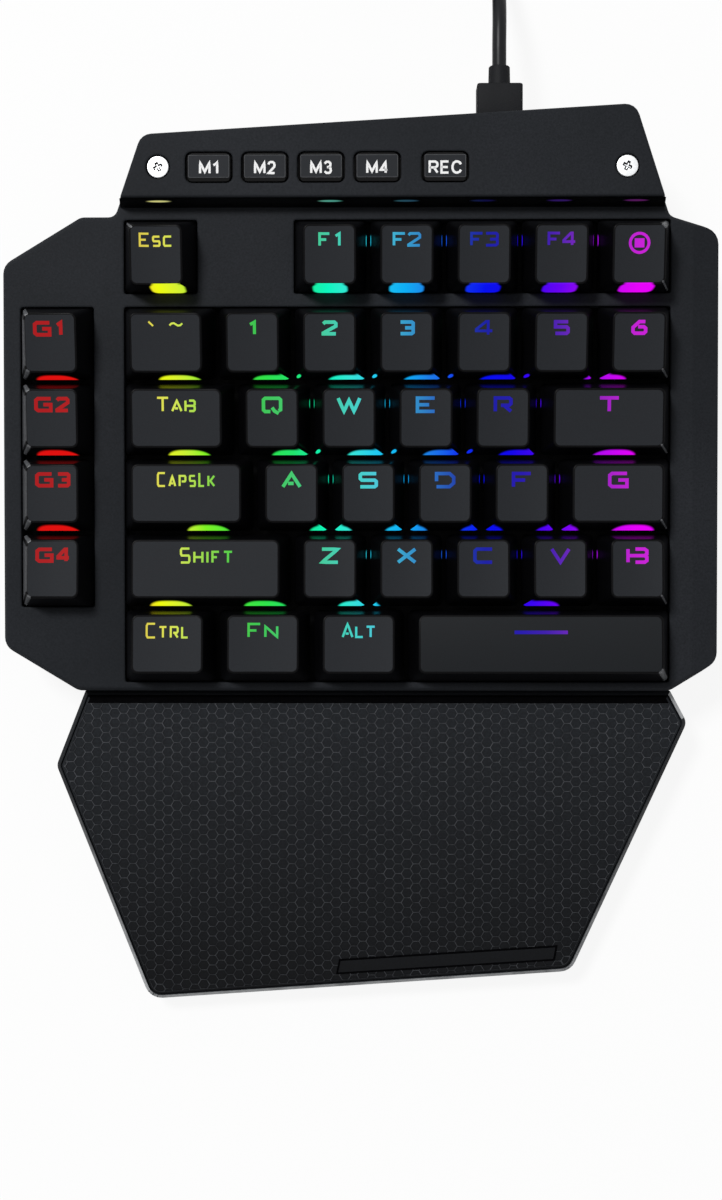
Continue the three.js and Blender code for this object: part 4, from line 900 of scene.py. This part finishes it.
for name, x in BUTTONS:
    count = len(rings[0])
    faces = loft(rings)
    slots = [BEVEL] * (1 + 3 * count) + [EDGE] * (2 * count) + [FACE] * (count + 1)
    points = [point for ring in rings for point in ring]
    for outline, low in ((flange, FLANGE_LOW), (stem, STEM_FOOT)):
        start = len(points)
        points += [(px, py, z) for z in (low, FLANGE_HIGH) for px, py in outline]
        faces += [tuple(start + index for index in face) for face in loft([outline, outline])]
    slots += [BEVEL] * (len(faces) - len(slots))
    letters = [PRINTED[letter] for letter in name.upper()]
    letter_x = -(sum(wide for wide, _ in letters) + PRINT_GAP * (len(letters) - 1)) / 2
    letter_y = BUTTON_FACE_SHIFT - PRINT_DROP - PRINT_HEIGHT / 2
    for wide, lines in letters:
        for line in lines:
            left, right = ribbon([
                (letter_x + PRINT_STROKE / 2 + u * (wide - PRINT_STROKE),
                 letter_y + PRINT_STROKE / 2 + v * (PRINT_HEIGHT - PRINT_STROKE))
                for u, v in line
            ], PRINT_STROKE)
            faces += ribbon_faces(len(points), len(left))
            slots += [PRINT] * (len(left) - 1)
            points += [(p.x, p.y, BUTTON_FLOOR + PRINT_LIFT) for p in (*left, *right)]
        letter_x += wide + PRINT_GAP
    button = shaped(
        f"macro_{name}", [placed(x + px, BUTTON_Y + py, z) for px, py, z in points], faces,
        [gloss_abs, hairline_highlight_abs, cap_tops[0], white_ink], sharp=20,
    )
    button.data.polygons.foreach_set("material_index", slots)
    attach(button, f"button_{name}")
    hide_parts(f"button_{name}")

# The front wall of the bar leans back and lies in shade. A gloss black strip laid on it is painted shade, and
# the diodes of the row below are painted in it as short, soft, glowing dashes of light.
STRIP_FOOT = (34.2, 6.35)
STRIP_TOP = (35.5, 11.75)
STRIP_ENDS = (-0.6, 136.3)
STRIP_INSET = 0.55
STRIP_PROUD = 0.06
DASH_PROUD = 0.1
DASH_MIDDLES = [x for _, row, x, _, _ in keys if row == 0]
DASH_REACH = 3.5
DASH_SHARES = (0.56, 0.8)
DASH_GLOW = (
    (9, "#C6C27C"), (52, "#4A9886"), (71, "#22485A"), (91, "#0C0A40"), (110, "#2C145E"), (129, "#541858"),
)


def on_strip(x, share, proud):
    """A point of the bar's front wall, a share of the way up it."""
    y = STRIP_FOOT[0] + (STRIP_TOP[0] - STRIP_FOOT[0]) * share - proud
    return (x, y, STRIP_FOOT[1] + (STRIP_TOP[1] - STRIP_FOOT[1]) * share)


WALL, DASH = range(2)
points, faces, slots = [], [], []
for x_low, x_high, low, high, proud, slot in [
    (*STRIP_ENDS, 0, 1, STRIP_PROUD, WALL),
    *[(x - DASH_REACH, x + DASH_REACH, *DASH_SHARES, DASH_PROUD, DASH) for x in DASH_MIDDLES],
]:
    taper = STRIP_INSET if slot == WALL else 0
    start = len(points)
    points += [
        on_strip(x_low, low, proud), on_strip(x_high, low, proud),
        on_strip(x_high - taper, high, proud), on_strip(x_low + taper, high, proud),
    ]
    faces.append((start, start + 1, start + 2, start + 3))
    slots.append(slot)
dash_light, dash_shader = new_finish(
    "diode_glint", 0.3, IOR=1.54, Specular_IOR_Level=0.12, Emission_Strength=1,
)
dash_shader.inputs["Base Color"].default_value = linear("#050506")
patch = add(dash_light, "ShaderNodeUVMap", uv_map="glow")
split = add(dash_light, "ShaderNodeSeparateXYZ", {"Vector": patch.outputs["UV"]})
offset = add(dash_light, "ShaderNodeMath", {
    0: split.outputs["X"], 1: split.outputs["X"],
}, operation="MULTIPLY")
lift = add(dash_light, "ShaderNodeMath", {
    0: split.outputs["Y"], 1: split.outputs["Y"],
}, operation="MULTIPLY")
reach = add(dash_light, "ShaderNodeMath", {
    0: offset.outputs["Value"], 1: lift.outputs["Value"],
}, operation="ADD")
fade = add(dash_light, "ShaderNodeMapRange", {
    "Value": reach.outputs["Value"], "From Min": 1.0, "From Max": 0.2,
}, interpolation_type="SMOOTHSTEP")
shine = add(dash_light, "ShaderNodeMix", {"Factor": fade.outputs["Result"]}, data_type="RGBA")
shine.inputs[6].default_value = (0, 0, 0, 1)
link(dash_light, rainbow(dash_light, DASH_GLOW), shine.inputs[7])
link(dash_light, shine.outputs[2], dash_shader.inputs["Emission Color"])
strip = shaped("bar_wall_shade_strip", [placed(*point) for point in points], faces, [gloss_abs, dash_light])
strip.data.polygons.foreach_set("material_index", slots)
glow = strip.data.uv_layers.new(name="glow")
for face in strip.data.polygons:
    for loop, uv in zip(face.loop_indices, ((-1, -1), (1, -1), (1, 1), (-1, 1))):
        glow.data[loop].uv = uv
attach(strip, "case")

# Two cross-head screws close the case. Their pan heads are cold-formed steel under bright zinc, sunk flush in
# the rear bar, and the steep walls of the cross are painted dark, as painted shade.
bright_zinc, zinc_shader = new_finish("bright_zinc_plate", 0.35, Metallic=1)
crystal = mottled(bright_zinc, zinc_shader, 0.6, 4, ("#d6d8da", "#eceeef"))
sheen = add(bright_zinc, "ShaderNodeMapRange", {"Value": crystal, "To Min": 0.28, "To Max": 0.5})
link(bright_zinc, sheen.outputs["Result"], zinc_shader.inputs["Roughness"])
edge = add(bright_zinc, "ShaderNodeBevel", {"Radius": 0.0002}, samples=4)
link(bright_zinc, edge.outputs["Normal"], zinc_shader.inputs["Normal"])
shaded_recess, shaded_recess_shader = new_finish("painted_shade_recess_steel", 0.45, IOR=1.5, Specular_IOR_Level=0.2)
mottled(shaded_recess, shaded_recess_shader, 0.4, 3, ("#141416", "#3a3a3d"))
SCREWS = (("left", 9.59, 25), ("right", 126.1725, 65))
SCREW_Y = 43.15
SCREW_TOP = 12
SCREW_PROFILE = (
    (1.4, 0), (1.4, 10.5), (2.75, 10.5), (2.75, 11.7), (2.6, SCREW_TOP - 0.08), (2.2, SCREW_TOP),
)
SCREW_SIDES = 32
# The cross at its mouth and on its floor: the reach of an arm, half its width, and the height.
CROSS_MOUTH = (1.2, 0.44, SCREW_TOP)
CROSS_FLOOR = (0.82, 0.14, 11.55)
CROSS_POINTS = 12
ZINC, RECESS_SHADE = range(2)
turns = [math.tau * n / SCREW_SIDES for n in range(SCREW_SIDES)]
for side, x, turned in SCREWS:
    points = [(radius * math.cos(a), radius * math.sin(a), z) for radius, z in SCREW_PROFILE for a in turns]
    faces = loft([turns] * len(SCREW_PROFILE))[:-1]
    rim = list(range(len(points) - SCREW_SIDES, len(points)))
    mouth = list(range(len(points), len(points) + CROSS_POINTS))
    cross_floor = [index + CROSS_POINTS for index in mouth]
    for arm, half, z in (CROSS_MOUTH, CROSS_FLOOR):
        for quarter in range(4):
            angle = math.radians(turned + 90 * quarter)
            cos, sin = math.cos(angle), math.sin(angle)
            points += [
                (u * cos - v * sin, u * sin + v * cos, z)
                for u, v in ((arm, -half), (arm, half), (half, half))
            ]
    loop = rim + mouth
    for corners in tessellate_polygon([[Vector(points[index]) for index in line] for line in (rim, mouth)]):
        a, b, c = (Vector(points[loop[index]]) for index in corners)
        upright = corners if (b - a).cross(c - a).z > 0 else corners[::-1]
        faces.append(tuple(loop[index] for index in upright))
    slots = [ZINC] * len(faces) + [RECESS_SHADE] * CROSS_POINTS + [ZINC]
    for n in range(CROSS_POINTS):
        after = (n + 1) % CROSS_POINTS
        faces.append((mouth[n], mouth[after], cross_floor[after], cross_floor[n]))
    faces.append(tuple(cross_floor))
    screw = shaped(
        f"pan_screw_{side}", [placed(x + px, SCREW_Y + py, z) for px, py, z in points], faces,
        [bright_zinc, shaded_recess], sharp=30,
    )
    screw.data.polygons.foreach_set("material_index", slots)
    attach(screw, "case")
    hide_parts(f"screw_{side}")

# The palm rest's pad is moulded in soft-touch rubber, with shallow six-sided cells 2.5 mm apart between fine
# ridges and a plain framed panel near its front edge. A smooth black band along the rear is painted shade, for
# the shadow of the case and keys on it, and the pad is painted darker towards the front, as painted shade.
PALM_CORNERS = (
    (5.551, -167.63, 4.5), (113.878, -160.18, 4.5), (143.388, -96.14, 3), (138.998, -87.95, 0.5),
    (-10.809, -87.95, 0.5), (-18.389, -107.3, 3),
)
PALM_BEND_STEPS = 5
PALM_TOP = 1.7
PAD_FOOT = 0.1
PAD_INSET = 1.4
PAD_BEVEL = 0.3
PAD_SOFTENING = 0.08
PAD_BORDER = 0.5
PAD_SINK = 0.1
CELL_COLUMN = 2.27
CELL_ROW = 2.49
RIDGE_WIDTH = 0.18
CELL_DEPTH = 0.16
CELL_SLOPE = 0.08
CELL_FLAT = 0.87
CELL_LEAST = 0.2
SHADE_BAND_Y = -91.2
SHADE_BAND_ENDS = (200, -100)
PANEL_CORNERS = ((53.5, -160.9), (109.6, -157.21), (110.3, -153.27), (54.3, -156.96))
PANEL_FRAME = 0.5
PANEL_LIFT = 0.04
WINDOW_LIFT = 0.08
PAD_SHADE_FADE = (-0.034, -0.106)


def palm_outline(grow):
    """The palm rest's outline, moved outwards by a margin, with its corners rounded."""
    moved = []
    for index, (x, y, radius) in enumerate(PALM_CORNERS):
        here = Vector((x, y))
        arriving = (here - Vector(PALM_CORNERS[index - 1][:2])).normalized()
        leaving = (Vector(PALM_CORNERS[(index + 1) % len(PALM_CORNERS)][:2]) - here).normalized()
        outwards = Vector((arriving.y + leaving.y, -arriving.x - leaving.x))
        corner = here + outwards * grow / (1 + arriving.dot(leaving))
        moved.append((corner, max(radius + grow, 0.05), arriving, leaving))
    points = []
    for here, radius, arriving, leaving in moved:
        turn = math.atan2(arriving.cross(leaving), arriving.dot(leaving))
        spoke = Vector((arriving.y, -arriving.x)) * radius
        centre = here - arriving * radius * math.tan(turn / 2) - spoke
        points += [
            centre + Matrix.Rotation(turn * step / PALM_BEND_STEPS, 2) @ spoke
            for step in range(PALM_BEND_STEPS + 1)
        ]
    return points


def cut(polygon, edges, inset):
    """The part of a convex polygon that lies inside all the edges of another, moved inwards by an inset."""
    for start, end in edges:
        along = (end - start).normalized()
        inwards = Vector((-along.y, along.x))
        kept = []
        for index, point in enumerate(polygon):
            before = polygon[index - 1]
            depth_before = (before - start).dot(inwards) - inset
            depth = (point - start).dot(inwards) - inset
            if depth * depth_before < 0:
                kept.append(before.lerp(point, depth_before / (depth_before - depth)))
            if depth >= 0:
                kept.append(point)
        polygon = kept
        if len(polygon) < 3:
            return []
    return polygon


pad_outline = palm_outline(-PAD_INSET)
levels = (
    (PAD_FOOT, 0), (PALM_TOP - PAD_BEVEL, 0), (PALM_TOP - PAD_SOFTENING, -PAD_SOFTENING),
    (PALM_TOP, -PAD_BEVEL), (PALM_TOP, -PAD_BORDER), (PALM_TOP - CELL_DEPTH - PAD_SINK, -PAD_BORDER),
)
points = [(p.x, p.y, z) for z, grow in levels for p in palm_outline(grow - PAD_INSET)]
rings = [points[start:start + len(pad_outline)] for start in range(0, len(points), len(pad_outline))]
faces = loft(rings)
RIDGE, CELL, FRAME_AND_SHADE = range(3)
slots = [FRAME_AND_SHADE if all(points[index][1] > SHADE_BAND_Y for index in face) else CELL for face in faces]
cell_border = palm_outline(-PAD_INSET - PAD_BORDER)
border_edges = [(a, cell_border[(n + 1) % len(cell_border)]) for n, a in enumerate(cell_border)]
shade_band_edge = tuple(Vector((x, SHADE_BAND_Y)) for x in SHADE_BAND_ENDS)
panel = [Vector(corner) for corner in PANEL_CORNERS]
panel_edges = [(a, panel[(n + 1) % len(panel)]) for n, a in enumerate(panel)]


def stand(outlines, ring_slots):
    """Joins outlines of equally many x, y points, each with its height, and closes the last one."""
    start = len(points)
    points.extend([(p.x, p.y, height) for outline, height in outlines for p in outline])
    for face, slot in zip(loft([outline for outline, _ in outlines])[1:], ring_slots):
        faces.append(tuple(start + index for index in face))
        slots.append(slot)


left, right = min(p.x for p in pad_outline), max(p.x for p in pad_outline)
front, rear = min(p.y for p in pad_outline), max(p.y for p in pad_outline)
for column_index in range(math.ceil((right - left) / CELL_COLUMN) + 1):
    x = left + column_index * CELL_COLUMN
    for row_index in range(math.ceil((rear - front) / CELL_ROW) + 1):
        y = front + (row_index + 0.5 * (column_index % 2)) * CELL_ROW
        cell = cut([
            Vector((x + u * CELL_COLUMN, y + v * CELL_ROW))
            for u, v in ((2 / 3, 0), (1 / 3, 0.5), (-1 / 3, 0.5), (-2 / 3, 0), (-1 / 3, -0.5), (1 / 3, -0.5))
        ], [*border_edges, shade_band_edge], 0)
        if len(cell) < 3:
            continue
        middle = sum(cell, Vector((0, 0))) / len(cell)
        size = min((point - middle).length for point in cell)
        inner = max(1 - RIDGE_WIDTH / 2 / max(size * CELL_FLAT, CELL_LEAST), 0.1)
        bottom = max(inner - CELL_SLOPE, 0.05)
        stand([
            (cell, PALM_TOP),
            ([middle + (point - middle) * inner for point in cell], PALM_TOP),
            ([middle + (point - middle) * bottom for point in cell], PALM_TOP - CELL_DEPTH),
        ], [RIDGE] * len(cell) + [CELL] * (len(cell) + 1))
band = cut(cell_border, [shade_band_edge[::-1]], 0)
stand([(band, PALM_TOP - CELL_DEPTH), (band, PALM_TOP)], [FRAME_AND_SHADE] * (len(band) + 1))
stand([(panel, PALM_TOP - CELL_DEPTH), (panel, PALM_TOP + PANEL_LIFT)], [FRAME_AND_SHADE] * (len(panel) + 1))
window = cut(panel, panel_edges, PANEL_FRAME)
stand([(window, PALM_TOP), (window, PALM_TOP + WINDOW_LIFT)], [CELL] * (len(window) + 1))

# The ridges are painted a lighter grey than the dark cells, as painted highlight where they catch the light.
# The panel's frame is black, and the band is black as painted shade.
pad_finishes = []
for name, dark, light, grain_size, most, roughness, shine in (
    ("pad_ridge", "#2b2d30", "#525458", 1.4, 0.5, 0.5, 0.08),
    ("pad_cell", "#1b1d20", "#222529", 0.6, 0.8, 0.6, 0.08),
    ("pad_frame", "#020203", "#060607", 0.6, 0, 0.7, 0.01),
):
    finish, finish_shader = new_finish(f"soft_touch_{name}", roughness, IOR=1.5, Specular_IOR_Level=shine)
    place = add(finish, "ShaderNodeTexCoord")
    grain = add(finish, "ShaderNodeTexNoise", {
        "Vector": place.outputs["Object"], "Scale": 1000 / grain_size, "Detail": 4,
    })
    tint = add(finish, "ShaderNodeValToRGB", {"Fac": grain.outputs["Fac"]})
    tint.color_ramp.elements[0].position = 0.35
    tint.color_ramp.elements[0].color = linear(dark)
    tint.color_ramp.elements[1].position = 0.65
    tint.color_ramp.elements[1].color = linear(light)
    # Towards the front the colour is mixed into near-black: painted shade.
    split = add(finish, "ShaderNodeSeparateXYZ", {"Vector": place.outputs["Object"]})
    front_shade = add(finish, "ShaderNodeMapRange", {
        "Value": split.outputs["Y"], "From Min": PAD_SHADE_FADE[0], "From Max": PAD_SHADE_FADE[1], "To Max": most,
    })
    skin = add(finish, "ShaderNodeMix", {"Factor": front_shade.outputs["Result"]}, data_type="RGBA")
    link(finish, tint.outputs["Color"], skin.inputs[6])
    skin.inputs[7].default_value = linear("#030304")
    link(finish, skin.outputs[2], finish_shader.inputs["Base Color"])
    bump = add(finish, "ShaderNodeBump", {
        "Height": grain.outputs["Fac"], "Strength": 0.4, "Distance": 0.00005,
    })
    link(finish, bump.outputs["Normal"], finish_shader.inputs["Normal"])
    pad_finishes.append(finish)
pad = shaped("palm_pad", [placed(*point) for point in points], faces, pad_finishes, sharp=20)
pad.data.polygons.foreach_set("material_index", slots)
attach(pad, "case")
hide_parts("palm_rest_pad")

# The palm rest's chamfered rim has a painted highlight in patches: hardly any at the rear, a clear grey at the
# front, and brightest on the short edge on the right. It is drawn as a thin skin on the moulded chamfer.
RIM_HEIGHT = 1.2
RIM_CHAMFER = 0.9
RIM_LIFT = 0.02
RIM_INSET = 0.01
# The short edge on the right follows the third corner. The rear edge follows the fourth, and the case hides it.
RIM_BRIGHT_EDGE = 3 * (PALM_BEND_STEPS + 1) - 1
RIM_HIDDEN_EDGE = 4 * (PALM_BEND_STEPS + 1) - 1
RIM_HIGHLIGHT_FADE = (-0.06, -0.112)
painted_rim_highlight, rim_shader = new_finish("rubbed_rim_abs", 0.35, IOR=1.54, Specular_IOR_Level=0.1)
place = add(painted_rim_highlight, "ShaderNodeTexCoord")
split = add(painted_rim_highlight, "ShaderNodeSeparateXYZ", {"Vector": place.outputs["Object"]})
forwards = add(painted_rim_highlight, "ShaderNodeMapRange", {
    "Value": split.outputs["Y"], "From Min": RIM_HIGHLIGHT_FADE[0], "From Max": RIM_HIGHLIGHT_FADE[1],
})
rim_patches = add(painted_rim_highlight, "ShaderNodeTexNoise", {
    "Vector": place.outputs["Object"], "Scale": 1 / 0.004, "Detail": 4,
})
amount = add(painted_rim_highlight, "ShaderNodeMath", {
    0: forwards.outputs["Result"], 1: rim_patches.outputs["Fac"],
}, operation="MULTIPLY")
tint = add(painted_rim_highlight, "ShaderNodeValToRGB", {"Fac": amount.outputs["Value"]})
tint.color_ramp.elements[0].color = linear("#1b1d20")
tint.color_ramp.elements[1].position = 0.6
tint.color_ramp.elements[1].color = linear("#a9abad")
link(painted_rim_highlight, tint.outputs["Color"], rim_shader.inputs["Base Color"])
rim_glare, bright_shader = new_finish("painted_rim_glare_abs", 0.25, IOR=1.54, Specular_IOR_Level=0.4)
mottled(rim_glare, bright_shader, 3, 4, ("#8e9093", "#c9cbcd"))
rim_lines = (
    (palm_outline(-RIM_INSET), RIM_HEIGHT - RIM_CHAMFER + RIM_LIFT),
    (palm_outline(-RIM_CHAMFER), RIM_HEIGHT + RIM_LIFT),
)
points = [placed(p.x, p.y, z) for line, z in rim_lines for p in line]
count = len(points) // 2
kept_edges = [n for n in range(count) if n != RIM_HIDDEN_EDGE]
faces = [(n, (n + 1) % count, count + (n + 1) % count, count + n) for n in kept_edges]
rim = shaped("palm_rim", points, faces, [painted_rim_highlight, rim_glare], sharp=50)
rim.data.polygons.foreach_set("material_index", [int(n == RIM_BRIGHT_EDGE) for n in kept_edges])
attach(rim, "case")

# The floor is a sweep of plain white paper. It shows white to the camera, and a tenth of the light that falls
# on it shows too, so that it keeps the object's soft shadow.
FLOOR_REACH = 30
SWEEP_WHITENESS = 0.9
floor_mesh = bpy.data.meshes.new("floor")
floor_corners = [(x * FLOOR_REACH, y * FLOOR_REACH, 0) for x, y in ((-1, -1), (1, -1), (1, 1), (-1, 1))]
floor_mesh.from_pydata(floor_corners, [], [(0, 1, 2, 3)])
floor = bpy.data.objects.new("floor", floor_mesh)
bpy.context.scene.collection.objects.link(floor)
sweep_paper, paper_shader = new_finish("white_paper_sweep", 0.9)
paper_shader.inputs["Base Color"].default_value = linear("#f4f4f4")
ray = add(sweep_paper, "ShaderNodeLightPath")
seen = add(sweep_paper, "ShaderNodeMath", {
    0: ray.outputs["Is Camera Ray"], 1: SWEEP_WHITENESS,
}, operation="MULTIPLY")
white = add(sweep_paper, "ShaderNodeEmission", {"Color": (1, 1, 1, 1), "Strength": 1.0})
surface = add(sweep_paper, "ShaderNodeMixShader", {
    "Fac": seen.outputs["Value"], 1: paper_shader.outputs["BSDF"], 2: white.outputs["Emission"],
})
link(sweep_paper, surface.outputs["Shader"], sweep_paper.node_tree.nodes["Material Output"].inputs["Surface"])
floor_mesh.materials.append(sweep_paper)

# One soft lamp stands behind the keypad on the left, as the keys' shadows show, in a plain white room. The
# room shows white to the camera and in reflections, and lights the object dimly from all sides.
LAMP_PLACE = (-800, 1030, 2000)
LAMP_AIM = (60, -30, 0)
LAMP_SIZE = 0.5
LAMP_POWER = 45
lamp_data = bpy.data.lights.new("lamp", "AREA")
lamp_data.size = LAMP_SIZE
lamp_data.energy = LAMP_POWER
lamp = bpy.data.objects.new("lamp", lamp_data)
lamp.location = placed(*LAMP_PLACE)
lamp.rotation_euler = (placed(*LAMP_AIM) - placed(*LAMP_PLACE)).to_track_quat("-Z", "Y").to_euler()
bpy.context.scene.collection.objects.link(lamp)

ROOM_LIGHT = 0.28
room = bpy.data.worlds.new("room")
bpy.context.scene.world = room
room.use_nodes = True
sky = room.node_tree.nodes["Background"]
sky.inputs["Color"].default_value = (1, 1, 1, 1)
ray = add(room, "ShaderNodeLightPath")
reflected = add(room, "ShaderNodeMath", {
    0: ray.outputs["Is Camera Ray"], 1: ray.outputs["Is Glossy Ray"],
}, operation="MAXIMUM")
clear = add(room, "ShaderNodeMath", {
    0: reflected.outputs["Value"], 1: ray.outputs["Is Transmission Ray"],
}, operation="MAXIMUM")
level = add(room, "ShaderNodeMapRange", {
    "Value": clear.outputs["Value"], "To Min": ROOM_LIGHT, "To Max": 1.0,
})
link(room, level.outputs["Result"], sky.inputs["Strength"])
bpy.context.scene.view_settings.view_transform = "Standard"
